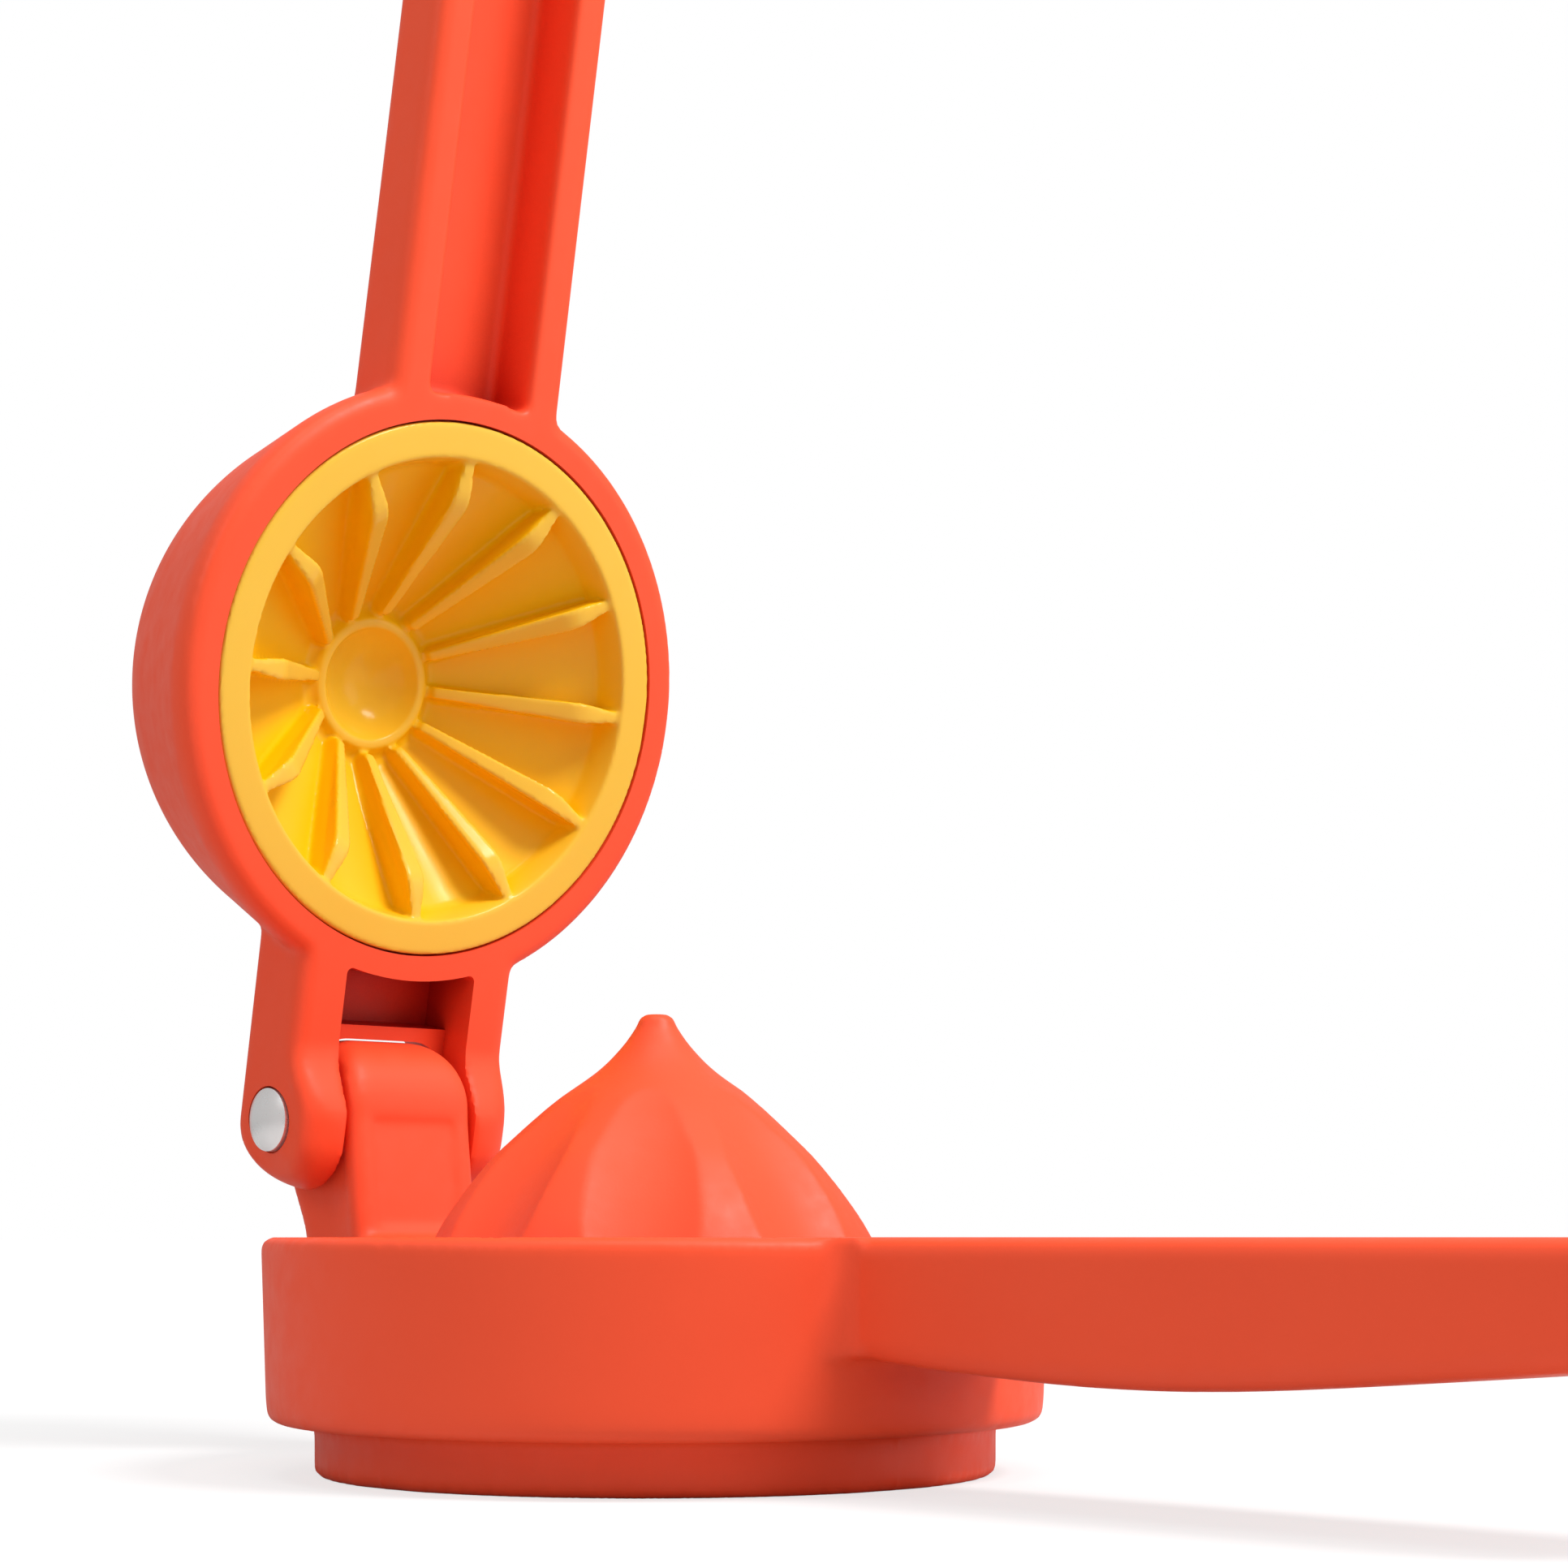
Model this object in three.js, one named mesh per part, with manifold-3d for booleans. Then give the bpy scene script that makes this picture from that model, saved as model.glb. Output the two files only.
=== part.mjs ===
// Lever citrus juice press: a round base with a fluted reamer over a strainer, and a hinged
// arm whose ribbed cup presses half a fruit down onto the reamer. Sizes are millimetres, +Z is up.
// The origin lies on the base's axis, in the plane where the base sits on a vessel's rim.
// +X runs along the lower handle, and the arm is drawn in its open rest pose.
import * as THREE from 'three';
import { mergeVertices } from 'three/addons/utils/BufferGeometryUtils.js';
import Module from 'manifold-3d';

const wasm = await Module();
wasm.setup();

// Driving sizes
const baseDiameter = 120;
const baseHeight = 28;
const handleWidth = 32;
const handleReach = 185;
const hingeReach = 73.4;
const hingeRise = 19.5;
const restLean = THREE.MathUtils.degToRad(11.5);
const cupRingDiameter = 87.4;
const cupDepth = 52.7;

// Clearances between pieces, and the overrun of every cut past the faces that it opens
const seatGap = 0.3;
const pinGap = 0.3;
const knuckleGap = 0.45;
const overrun = 4;

// Base: wall, rim, seat on the vessel and the spigot that centres it there
const base = {
  wall: 3.2,
  draft: 0.7,
  rimRound: 1.7,
  footRound: 2,
  footInset: 1,
  strainerDrop: 9,
  ledgeWidth: 2.3,
  seatThickness: 3,
  seatInset: 8,
  spigotWall: 2.4,
  spigotDrop: 8,
  spigotRound: 0.8,
};

// Lower handle: a channel open at the top, deepest a third of the way along
const lower = {
  depth: 19.2,
  stationShares: [0, 0.1, 0.3, 0.5, 0.76, 1],
  depthShares: [0.87, 0.93, 1, 0.99, 0.87, 0.72],
  edgeRound: 2.6,
  rootFillet: 4,
  endRound: 13,
  wall: 5.6,
  floor: 2.6,
  channelStart: 7,
  channelEnd: 12,
  channelRound: 4,
};

// Hinge post on the base, with the knuckle that the pin passes through
const post = {
  width: 23.6,
  edgeRound: 2.4,
  topRise: 13.7,
  front: 10.4,
  back: 9.8,
  crownFront: 10.6,
  crownBack: 9,
  rootFront: 12.4,
  rootBack: 3.4,
  rootDrop: 24,
  neckRound: 14,
  neckDrop: 9,
  footWidth: 6,
  panelWidth: 18,
  panelTop: 0.7,
  panelBottom: 18,
  panelDepth: 0.4,
};

// Arm: cup housing, clevis ears, window under the cup and channelled handle
const arm = {
  faceLead: 5.5,
  rimWall: 6.1,
  rimRound: 2.2,
  skirtDepth: 20,
  skirtSlope: 0.27,
  domeInset: 3,
  domeStart: 1.8,
  domePower: 2.34,
  domeDrop: 0.03,
  shell: 3,
  ledge: 2.6,
  plateDepth: 12.9,
  rimLayer: 5,
  rootWiden: 1.1,
  edgeRound: 2.4,
  handleFillet: 3.4,
  earFillet: 3.8,
  buriedInset: 1.6,
  endRound: 13,
  wall: 6.1,
  channelDepth: 10.8,
  channelMargin: 4.5,
  channelEnd: 12,
  channelRound: 3.2,
  earWidth: 9.6,
  earBack: 9.7,
  earRound: 3.5,
  lobeRadius: 9.2,
  lobeLead: -0.8,
  lobeDrop: 2.4,
  blendStart: 1,
  blendEnd: 13,
  webThickness: 2.4,
  webSetback: 6.5,
  windowFloor: 2.7,
  windowMargin: 4.5,
  windowRound: 1.5,
};

// Press insert: flat ring, stepped bowl, radial fins and a dimple over the reamer's tip
const insert = {
  ringWidth: 5.7,
  ringThickness: 3,
  ringRound: 0.5,
  wall: 2.2,
  shelfDepth: 7,
  shelfWidth: 4,
  dimpleRadius: 9.6,
  dimpleDepth: 21,
  dimpleSag: 6,
  bossWall: 2.2,
  bossRise: 1.9,
  finCount: 12,
  finWidth: 2.3,
  finRound: 0.65,
  finKinkInset: 7.2,
  finKinkDepth: 1.7,
  finTipRadius: 10.4,
  finTipDepth: 19.6,
};

// Reamer cone and the slotted strainer plate moulded with it
const reamer = {
  tipRise: 34.2,
  tipRadius: 2.4,
  footRadius: 37.4,
  radiusShares: [0.083, 0.142, 0.243, 0.425, 0.583, 0.717, 0.874, 0.965, 1],
  riseShares: [0.956, 0.884, 0.796, 0.683, 0.567, 0.455, 0.27, 0.1, 0],
  wall: 5,
  fluteCount: 8,
  fluteRadius: 19,
  fluteDepth: 1.9,
  fluteTipShare: 0.73,
  fluteFootShare: 0.2,
  plateThickness: 2.2,
  rimHeight: 4,
  rimWall: 1.8,
  slotCount: 24,
  slotWidth: 2.4,
  slotRound: 1.1,
  slotInset: 3.4,
  slotLength: 9.5,
};

// Hinge pin: a domed head on each side, and a cap stud that the hollow shank takes
const pin = {
  shankRadius: 3.5,
  headRadius: 5.25,
  headSeat: 1.6,
  headGap: 0.35,
  domeRise: 0.8,
  studRadius: 1.9,
  studLength: 9,
};

// Fineness: steps round a ring, and how far a facet may lie from the curve that it follows
const ringSteps = 60;
const hiddenSteps = 30;
const pinSteps = 20;
const coneSteps = 16;
const facetError = 0.16;
const hiddenError = 0.4;
const weldDistance = 1e-4;

// Places that several pieces share
const baseRadius = baseDiameter / 2;
const ringRadius = cupRingDiameter / 2;
const cupRadius = ringRadius + arm.rimWall;
const domeRadius = cupRadius - arm.domeInset;
const armLength = hingeReach + handleReach;
const strainerTop = baseHeight - base.strainerDrop;
const strainerSeat = strainerTop - reamer.plateThickness;
const strainerRadius = baseRadius - base.wall - seatGap;
const slotHalf = post.width / 2 + knuckleGap;
const clevisHalf = slotHalf + arm.earWidth;
const webLow = post.topRise + knuckleGap;
const webHigh = webLow + arm.webThickness;
const windowRadius = ringRadius + arm.windowMargin;
const channelRise = ringRadius + arm.channelMargin;

// Finishes
const shellPaint = { color: 0xe8492c, roughness: 0.42, metalness: 0 };
const insertPaint = { color: 0xf2b21c, roughness: 0.3, metalness: 0 };
const pinPaint = { color: 0xbdbcb8, roughness: 0.38, metalness: 1 };

/** Turns a closed geometry into a solid that can be joined and cut. */
function toSolid(geometry) {
  const bare = geometry.clone();
  bare.deleteAttribute('normal');
  bare.deleteAttribute('uv');
  const merged = mergeVertices(bare, weldDistance);
  const index = merged.index.array;
  const triangles = [];
  for (let i = 0; i < index.length; i += 3) {
    const [a, b, c] = [index[i], index[i + 1], index[i + 2]];
    if (a !== b && b !== c && c !== a) triangles.push(a, b, c);
  }
  const mesh = { numProp: 3, vertProperties: merged.attributes.position.array };
  const solid = new wasm.Manifold(new wasm.Mesh({ ...mesh, triVerts: new Uint32Array(triangles) }));
  if (solid.volume() > 0) return solid;
  for (let i = 0; i < triangles.length; i += 3) {
    [triangles[i + 1], triangles[i + 2]] = [triangles[i + 2], triangles[i + 1]];
  }
  return new wasm.Manifold(new wasm.Mesh({ ...mesh, triVerts: new Uint32Array(triangles) }));
}

/** Makes the named mesh of a finished solid. */
function toMesh(name, solid, paint) {
  const { vertProperties, triVerts } = solid.getMesh();
  const geometry = new THREE.BufferGeometry();
  geometry.setAttribute('position', new THREE.BufferAttribute(vertProperties, 3));
  geometry.setIndex(new THREE.BufferAttribute(triVerts, 1));
  geometry.computeVertexNormals();
  const mesh = new THREE.Mesh(geometry, new THREE.MeshStandardMaterial(paint));
  mesh.name = name;
  return mesh;
}

/** Number of facets that follow an arc of the given radius and turn. */
function facetCount(radius, turn, error = facetError) {
  const step = 2 * Math.acos(Math.max(0, 1 - error / radius));
  return Math.max(1, Math.ceil(Math.abs(turn) / step));
}

/** Points of an outline whose corners, each [x, y] or [x, y, radius], are rounded. */
function roundCorners(corners, closed = true) {
  const points = [];
  const count = corners.length;
  corners.forEach(([x, y, radius = 0], i) => {
    const corner = new THREE.Vector2(x, y);
    if (radius === 0 || (!closed && (i === 0 || i === count - 1))) {
      points.push(corner);
      return;
    }
    const [before, after] = [corners[(i + count - 1) % count], corners[(i + 1) % count]];
    const to = new THREE.Vector2(before[0], before[1]).sub(corner).normalize();
    const from = new THREE.Vector2(after[0], after[1]).sub(corner).normalize();
    const half = Math.acos(THREE.MathUtils.clamp(to.dot(from), -1, 1)) / 2;
    const middle = to.clone().add(from).normalize().multiplyScalar(radius / Math.sin(half));
    const centre = corner.clone().add(middle);
    const start = corner.clone().addScaledVector(to, radius / Math.tan(half)).sub(centre);
    const turn = (Math.PI - 2 * half) * Math.sign(to.cross(from)) * -1;
    const steps = facetCount(radius, turn);
    for (let k = 0; k <= steps; k += 1) {
      points.push(start.clone().rotateAround(new THREE.Vector2(), (turn * k) / steps).add(centre));
    }
  });
  return points;
}

/** Points on an arc of an ellipse, from one angle to another. */
function arcPoints(x, y, radiusX, radiusY, from, to, error = facetError) {
  const steps = facetCount(Math.max(radiusX, radiusY), to - from, error);
  return Array.from({ length: steps + 1 }, (_, k) => {
    const angle = from + ((to - from) * k) / steps;
    return new THREE.Vector2(x + radiusX * Math.cos(angle), y + radiusY * Math.sin(angle));
  });
}

/** Points on a quarter of a superellipse, from its full radius out to its tip at the given depth. */
function domePoints(radius, start, depth, error = facetError) {
  const steps = facetCount(radius, Math.PI / 2, error);
  const power = 2 / arm.domePower;
  return Array.from({ length: steps + 1 }, (_, k) => {
    const angle = (k / steps) * (Math.PI / 2);
    const x = k === steps ? 0 : radius * Math.cos(angle) ** power;
    return new THREE.Vector2(x, start - depth * Math.sin(angle) ** power);
  });
}

/** Solid turned about +Z from a profile of (radius, height) points. */
function revolve(points, steps = ringSteps) {
  return toSolid(new THREE.LatheGeometry(points, steps).rotateX(Math.PI / 2));
}

/** Solid turned about +X from a profile of (radius, place along X) points. */
function revolveX(points, steps = ringSteps) {
  return toSolid(new THREE.LatheGeometry(points, steps).rotateZ(-Math.PI / 2));
}

/** Solid of an outline drawn in (x, y) and pushed up +Z from zero, with its edges rounded. */
function extrude(points, length, edge = 0) {
  const geometry = new THREE.ExtrudeGeometry(new THREE.Shape(points), {
    depth: length - 2 * edge,
    bevelEnabled: edge > 0,
    bevelThickness: edge,
    bevelSize: edge,
    bevelOffset: -edge,
    bevelSegments: edge > 0 ? facetCount(edge, Math.PI / 2) : 1,
    curveSegments: 1,
  });
  return geometry.translate(0, 0, edge);
}

/** Solid of an outline drawn in (x, z), of the given width, centred on the XZ plane. */
function extrudeAcross(points, width, edge = 0) {
  return toSolid(extrude(points, width, edge).rotateX(Math.PI / 2).translate(0, width / 2, 0));
}

/** Solid of an outline drawn in (y, z) and pushed back from the plane x = front. */
function extrudeBack(points, front, depth, edge = 0) {
  const turn = new THREE.Matrix4().makeBasis(
    new THREE.Vector3(0, 1, 0),
    new THREE.Vector3(0, 0, 1),
    new THREE.Vector3(1, 0, 0),
  );
  return toSolid(extrude(points, depth, edge).applyMatrix4(turn).translate(front - depth, 0, 0));
}

/** Solid of an outline drawn in (x, y) and pushed up from the plane z = low. */
function extrudeUp(points, low, height, edge = 0) {
  return toSolid(extrude(points, height, edge).translate(0, 0, low));
}

/** Rod along Y between two places, for bores and pins. */
function rodY(radius, from, to) {
  const profile = roundCorners([[0, from], [radius, from], [radius, to], [0, to]], false);
  return toSolid(new THREE.LatheGeometry(profile, pinSteps));
}

/** Concave corner between a straight side and a ring, from the side's end to the ring's start. */
function sideFillet(half, radius, fillet) {
  const out = half + fillet;
  const along = Math.sqrt((radius + fillet) ** 2 - out ** 2);
  const turn = Math.atan2(along, out);
  return arcPoints(out, along, fillet, fillet, Math.PI, Math.PI + turn);
}

/** Outer profile and bore of the base as one closed ring section. */
function baseRing() {
  const bottomRadius = baseRadius - base.footInset;
  const spigotRadius = baseRadius - base.seatInset;
  const bore = spigotRadius - base.spigotWall;
  const well = baseRadius - base.wall;
  const throat = well - base.ledgeWidth;
  const section = roundCorners([
    [bore, -base.spigotDrop, base.spigotRound],
    [spigotRadius, -base.spigotDrop, base.spigotRound],
    [spigotRadius, 0],
    [bottomRadius, 0, base.footRound],
    [baseRadius - base.draft, base.footRound * 2],
    [baseRadius, baseHeight, base.rimRound],
    [well, baseHeight, base.rimRound / 2],
    [well, strainerSeat - seatGap],
    [throat, strainerSeat - seatGap],
    [throat, base.seatThickness],
    [bore, base.seatThickness],
  ]);
  return revolve([...section, section[0]]);
}

/** Underside of the lower handle as a smooth line from the base to the handle's end. */
function lowerHandleUnderside() {
  const length = handleReach - baseRadius;
  const stations = lower.stationShares.map((share, i) => new THREE.Vector2(
    baseRadius + length * share,
    baseHeight - lower.depth * lower.depthShares[i],
  ));
  return new THREE.SplineCurve(stations).getPoints(stations.length * 2);
}

/** Lower handle: a rounded bar with its channel, and fillets where it leaves the base. */
function lowerHandle() {
  const inside = baseRadius - base.wall / 2;
  const underside = lowerHandleUnderside();
  const side = [
    new THREE.Vector2(inside, baseHeight),
    new THREE.Vector2(inside, underside[0].y),
    ...underside,
    new THREE.Vector2(handleReach, baseHeight),
  ];
  const half = handleWidth / 2;
  const bar = extrudeAcross(side, handleWidth, lower.edgeRound);
  const plan = roundCorners([
    [0, half],
    [0, -half],
    [handleReach, -half, lower.endRound],
    [handleReach, half, lower.endRound],
  ]);
  const shaped = bar.intersect(extrudeUp(plan, 0, baseHeight + overrun));
  return shaped.add(lowerHandleRoot());
}

/** The webs that fill the corners between the base's wall and the lower handle's sides. */
function lowerHandleRoot() {
  const half = handleWidth / 2;
  const inside = Math.sqrt((baseRadius - base.wall / 2) ** 2 - half ** 2);
  const corner = sideFillet(half, baseRadius, lower.rootFillet).map((p) => [p.y, p.x]);
  const end = corner[corner.length - 1];
  const nearWall = [end[0] * (1 - base.wall / baseRadius), end[1] * (1 - base.wall / baseRadius)];
  const outline = [[corner[0][0], 0], ...corner, nearWall, [inside, 0]];
  const mirrored = outline.map(([x, y]) => [x, -y]).reverse();
  const points = [...outline, ...mirrored].map(([x, y]) => new THREE.Vector2(x, y));
  const depth = lower.depth * lower.depthShares[0];
  return extrudeUp(points, baseHeight - depth, depth, lower.edgeRound / 2);
}

/** Cut that makes the lower handle a channel, its near end following the base's ring. */
function lowerHandleChannel() {
  const half = handleWidth / 2 - lower.wall;
  const near = baseRadius + lower.channelStart;
  const turn = Math.asin(half / near);
  const curve = arcPoints(0, 0, near, near, turn, -turn).map((p) => [p.x, p.y]);
  const far = handleReach - lower.channelEnd;
  const outline = [...curve, [far, -half, lower.channelRound], [far, half, lower.channelRound]];
  const floor = lowerHandleUnderside().map((p) => new THREE.Vector2(p.x, p.y + lower.floor));
  const side = [
    ...floor,
    new THREE.Vector2(handleReach, baseHeight + overrun),
    new THREE.Vector2(baseRadius, baseHeight + overrun),
  ];
  const slot = extrudeUp(roundCorners(outline), 0, baseHeight + overrun);
  return slot.intersect(extrudeAcross(side, handleWidth));
}

/** Hinge post: crowned knuckle on a neck that narrows, and runs down the base's wall. */
function hingePost() {
  const rim = -hingeRise;
  const wall = hingeReach - baseRadius + base.wall / 2;
  const outline = roundCorners([
    [post.front, post.topRise, post.crownFront],
    [-post.back, post.topRise, post.crownBack],
    [-post.back, rim / 3, post.neckRound / 2],
    [-post.rootBack, rim, post.neckRound],
    [-post.rootBack, rim - post.neckDrop, post.neckRound],
    [wall - post.footWidth, rim - post.rootDrop],
    [wall, rim - post.rootDrop],
    [wall, rim],
    [post.rootFront, rim],
    [post.front, 0],
  ]);
  const points = outline.map((p) => new THREE.Vector2(p.x - hingeReach, p.y + baseHeight + hingeRise));
  return extrudeAcross(points, post.width, post.edgeRound);
}

/** Shallow panel sunk into the front of the post. */
function postPanel() {
  const half = post.panelWidth / 2;
  const low = baseHeight + hingeRise - post.panelBottom;
  const high = baseHeight + hingeRise + post.panelTop;
  const slope = (post.rootFront - post.front) / hingeRise;
  const face = (z) => post.front - hingeReach - slope * (z - baseHeight - hingeRise) - post.panelDepth;
  const side = [
    new THREE.Vector2(face(low), low),
    new THREE.Vector2(face(high), high),
    new THREE.Vector2(face(high) + overrun, high),
    new THREE.Vector2(face(low) + overrun, low),
  ];
  return extrudeAcross(side, 2 * half);
}

/** Base with its seat, spigot, handle and hinge post, as one moulding. */
function makeBase() {
  const pinZ = baseHeight + hingeRise;
  const bore = rodY(pin.shankRadius + pinGap, -clevisHalf, clevisHalf).translate([-hingeReach, 0, pinZ]);
  const solid = baseRing()
    .add(lowerHandle())
    .add(hingePost())
    .subtract(lowerHandleChannel())
    .subtract(postPanel())
    .subtract(bore)
    .subtract(wellCut());
  return toMesh('base_body', solid, shellPaint);
}

/** Keeps the handle and post out of the well that takes the strainer. */
function wellCut() {
  const well = baseRadius - base.wall;
  return revolve(roundCorners([
    [0, strainerSeat - seatGap],
    [well, strainerSeat - seatGap],
    [well, baseHeight + overrun],
    [0, baseHeight + overrun],
  ], false));
}

/** Ogee outline of the reamer from its foot up to its tip, as (radius, height) points. */
function reamerOutline(inset, steps) {
  const rise = reamer.tipRise + base.strainerDrop;
  const stations = reamer.radiusShares.map((share, i) => new THREE.Vector2(
    reamer.footRadius * share,
    strainerTop + rise * reamer.riseShares[i],
  ));
  const curve = new THREE.SplineCurve(stations.reverse());
  return curve.getPoints(steps).map((point, i, all) => {
    const ahead = all[Math.min(i + 1, all.length - 1)];
    const behind = all[Math.max(i - 1, 0)];
    const along = ahead.clone().sub(behind).normalize();
    return new THREE.Vector2(point.x - along.y * inset, point.y + along.x * inset);
  });
}

/** Reamer cone with its rounded tip and its hollow underside. */
function reamerCone() {
  const tip = strainerTop + reamer.tipRise + base.strainerDrop;
  const outer = reamerOutline(0, coneSteps);
  const neck = outer[outer.length - 1];
  const crown = roundCorners([
    [neck.x, neck.y],
    [reamer.tipRadius, tip, reamer.tipRadius / 2],
    [0, tip],
  ], false);
  const foot = new THREE.Vector2(0, strainerSeat);
  const skirt = new THREE.Vector2(reamer.footRadius, strainerSeat);
  const cone = revolve([foot, skirt, ...outer, ...crown.slice(1)]);
  const inner = reamerOutline(reamer.wall, coneSteps / 2).filter((p) => p.x > reamer.wall);
  const inside = inner[inner.length - 1];
  const mouth = new THREE.Vector2(inner[0].x, strainerSeat - overrun);
  const roof = new THREE.Vector2(0, inside.y);
  const hollow = revolve([new THREE.Vector2(0, mouth.y), mouth, ...inner, roof], hiddenSteps);
  return cone.subtract(reamerFlutes()).subtract(hollow);
}

/** Leaf-shaped flutes: one leaning rod for each, sunk deeper towards the cone's foot. */
function reamerFlutes() {
  const outline = reamerOutline(0, coneSteps * 4);
  const rise = reamer.tipRise + base.strainerDrop;
  const nearest = (share) => outline.reduce((best, p) => {
    const wanted = strainerTop + rise * share;
    return Math.abs(p.y - wanted) < Math.abs(best.y - wanted) ? p : best;
  });
  const [low, high] = [nearest(reamer.fluteFootShare), nearest(reamer.fluteTipShare)];
  const along = high.clone().sub(low).normalize();
  const out = new THREE.Vector2(along.y, -along.x);
  const start = low.clone().addScaledVector(out, reamer.fluteRadius - reamer.fluteDepth);
  const end = high.clone().addScaledVector(out, reamer.fluteRadius);
  const axis = end.clone().sub(start);
  const lean = Math.atan2(axis.x, axis.y);
  const length = axis.length() * 3;
  const rod = new THREE.CylinderGeometry(reamer.fluteRadius, reamer.fluteRadius, length, ringSteps);
  rod.rotateX(Math.PI / 2).rotateY(lean);
  rod.translate((start.x + end.x) / 2, 0, (start.y + end.y) / 2);
  const flute = toSolid(rod);
  let flutes = flute;
  for (let i = 1; i < reamer.fluteCount; i += 1) {
    flutes = flutes.add(flute.rotate([0, 0, (360 * i) / reamer.fluteCount]));
  }
  return flutes;
}

/** Strainer plate round the reamer's foot, with its stiffening rim. */
function strainerPlate() {
  const inner = reamer.footRadius - reamer.wall / 2;
  const lip = strainerRadius - reamer.rimWall;
  const section = roundCorners([
    [inner, strainerSeat],
    [strainerRadius, strainerSeat],
    [strainerRadius, strainerTop + reamer.rimHeight],
    [lip, strainerTop + reamer.rimHeight],
    [lip, strainerTop],
    [inner, strainerTop],
  ]);
  return revolve([...section, section[0]]);
}

/** Radial slots that let the juice through and keep the pips back. */
function strainerSlots() {
  const near = reamer.footRadius + reamer.slotInset;
  const half = reamer.slotWidth / 2;
  const outline = roundCorners([
    [near, -half, reamer.slotRound],
    [near + reamer.slotLength, -half, reamer.slotRound],
    [near + reamer.slotLength, half, reamer.slotRound],
    [near, half, reamer.slotRound],
  ]);
  const slot = extrudeUp(outline, strainerSeat - overrun, reamer.plateThickness + 2 * overrun);
  let slots = slot;
  for (let i = 1; i < reamer.slotCount; i += 1) {
    slots = slots.add(slot.rotate([0, 0, (360 * i) / reamer.slotCount]));
  }
  return slots;
}

/** Reamer and strainer, dropped onto the ledge inside the base. */
function makeReamer() {
  const solid = strainerPlate().add(reamerCone()).subtract(strainerSlots());
  return toMesh('reamer_strainer', solid, shellPaint);
}

/** Turned shape about the cup's axis, its back leaning a little towards the hinge. */
function cupTurn(points, steps) {
  const lean = new THREE.Matrix4().set(
    1, 0, 0, 0,
    0, 1, 0, 0,
    arm.domeDrop, 0, 1, hingeReach - arm.domeDrop * arm.faceLead,
    0, 0, 0, 1,
  );
  const turned = new THREE.LatheGeometry(points, steps).rotateZ(-Math.PI / 2);
  return toSolid(turned.applyMatrix4(lean));
}

/** Outer radius of the cup's skirt at a depth behind the face. */
function skirtRadius(depth) {
  return cupRadius - (depth - arm.rimRound) * arm.skirtSlope;
}

/** Outside of the cup housing: rounded rim, conical skirt and full dome. */
function cupOutside() {
  const front = arm.faceLead;
  const bottom = front - arm.skirtDepth;
  const dome = domePoints(domeRadius, front - arm.domeStart, cupDepth - arm.domeStart);
  const rim = roundCorners([
    [0, front],
    [cupRadius, front, arm.rimRound],
    [cupRadius, front - arm.rimRound * 2, arm.rimRound],
    [skirtRadius(arm.skirtDepth), bottom],
  ], false);
  return cupTurn([...rim, ...dome.filter((p) => p.y < bottom)], ringSteps);
}

/** Inside of the cup housing, with the ledge that carries the insert's ring. */
function cupInside() {
  const front = arm.faceLead;
  const pocket = ringRadius + seatGap;
  const ledge = front - insert.ringThickness - seatGap;
  const inner = pocket - arm.ledge;
  const start = front - arm.domeStart;
  const dome = domePoints(inner, start, cupDepth - arm.domeStart - arm.shell, hiddenError);
  const seat = roundCorners([
    [0, front + overrun],
    [pocket, front + overrun],
    [pocket, ledge],
    [0, ledge],
  ], false);
  const hollow = [new THREE.Vector2(0, front), new THREE.Vector2(inner, front), ...dome];
  return cupTurn(hollow, hiddenSteps).add(revolveX(seat).translate([0, 0, hingeReach]));
}

/** Front view of the handle and of the ears' roots, with the corners they make with a ring. */
function plateOutline(radius) {
  const endHalf = handleWidth / 2;
  const rootHalf = endHalf + arm.rootWiden;
  const buried = skirtRadius(arm.plateDepth) - arm.buriedInset;
  const atHandle = sideFillet(rootHalf, radius, arm.handleFillet);
  const atEars = sideFillet(clevisHalf, radius, arm.earFillet);
  const handleTurn = Math.atan2(atHandle[atHandle.length - 1].y, atHandle[atHandle.length - 1].x);
  const earTurn = Math.atan2(atEars[atEars.length - 1].y, atEars[atEars.length - 1].x);
  const half = [
    [endHalf, armLength, arm.endRound],
    ...atHandle.map((p) => [p.x, hingeReach + p.y]),
    ...arcPoints(0, hingeReach, buried, buried, handleTurn, -earTurn).map((p) => [p.x, p.y]),
    ...atEars.reverse().map((p) => [p.x, hingeReach - p.y]),
    [clevisHalf, webLow],
  ];
  const mirrored = half.map(([y, s, round]) => [-y, s, round ?? 0]).reverse();
  return roundCorners([...half, ...mirrored]);
}

/** Handle and ear roots in two layers, whose corners follow the rim and the skirt behind it. */
function armPlate() {
  const layer = (depth) => extrudeBack(
    plateOutline(skirtRadius(depth)), arm.faceLead, depth, arm.edgeRound,
  );
  return layer(arm.plateDepth).add(layer(arm.rimLayer));
}

/** Side view of the clevis: straight back, round lobe at the pin, swept up to the front face. */
function clevisOutline() {
  const lobe = [arm.lobeLead, -arm.lobeDrop];
  const bulge = arm.lobeLead + arm.lobeRadius;
  const top = hingeReach - cupRadius + arm.rimWall;
  const sweep = new THREE.CubicBezierCurve(
    new THREE.Vector2(bulge, arm.blendStart),
    new THREE.Vector2(bulge, (arm.blendStart + arm.blendEnd) / 2),
    new THREE.Vector2(arm.faceLead, (arm.blendStart + arm.blendEnd) / 2),
    new THREE.Vector2(arm.faceLead, arm.blendEnd),
  );
  return [
    new THREE.Vector2(-arm.earBack, top),
    new THREE.Vector2(-arm.earBack, 0),
    ...arcPoints(...lobe, arm.lobeRadius, arm.lobeRadius, -Math.PI, 0),
    ...sweep.getPoints(6),
    new THREE.Vector2(arm.faceLead, top),
  ];
}

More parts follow.
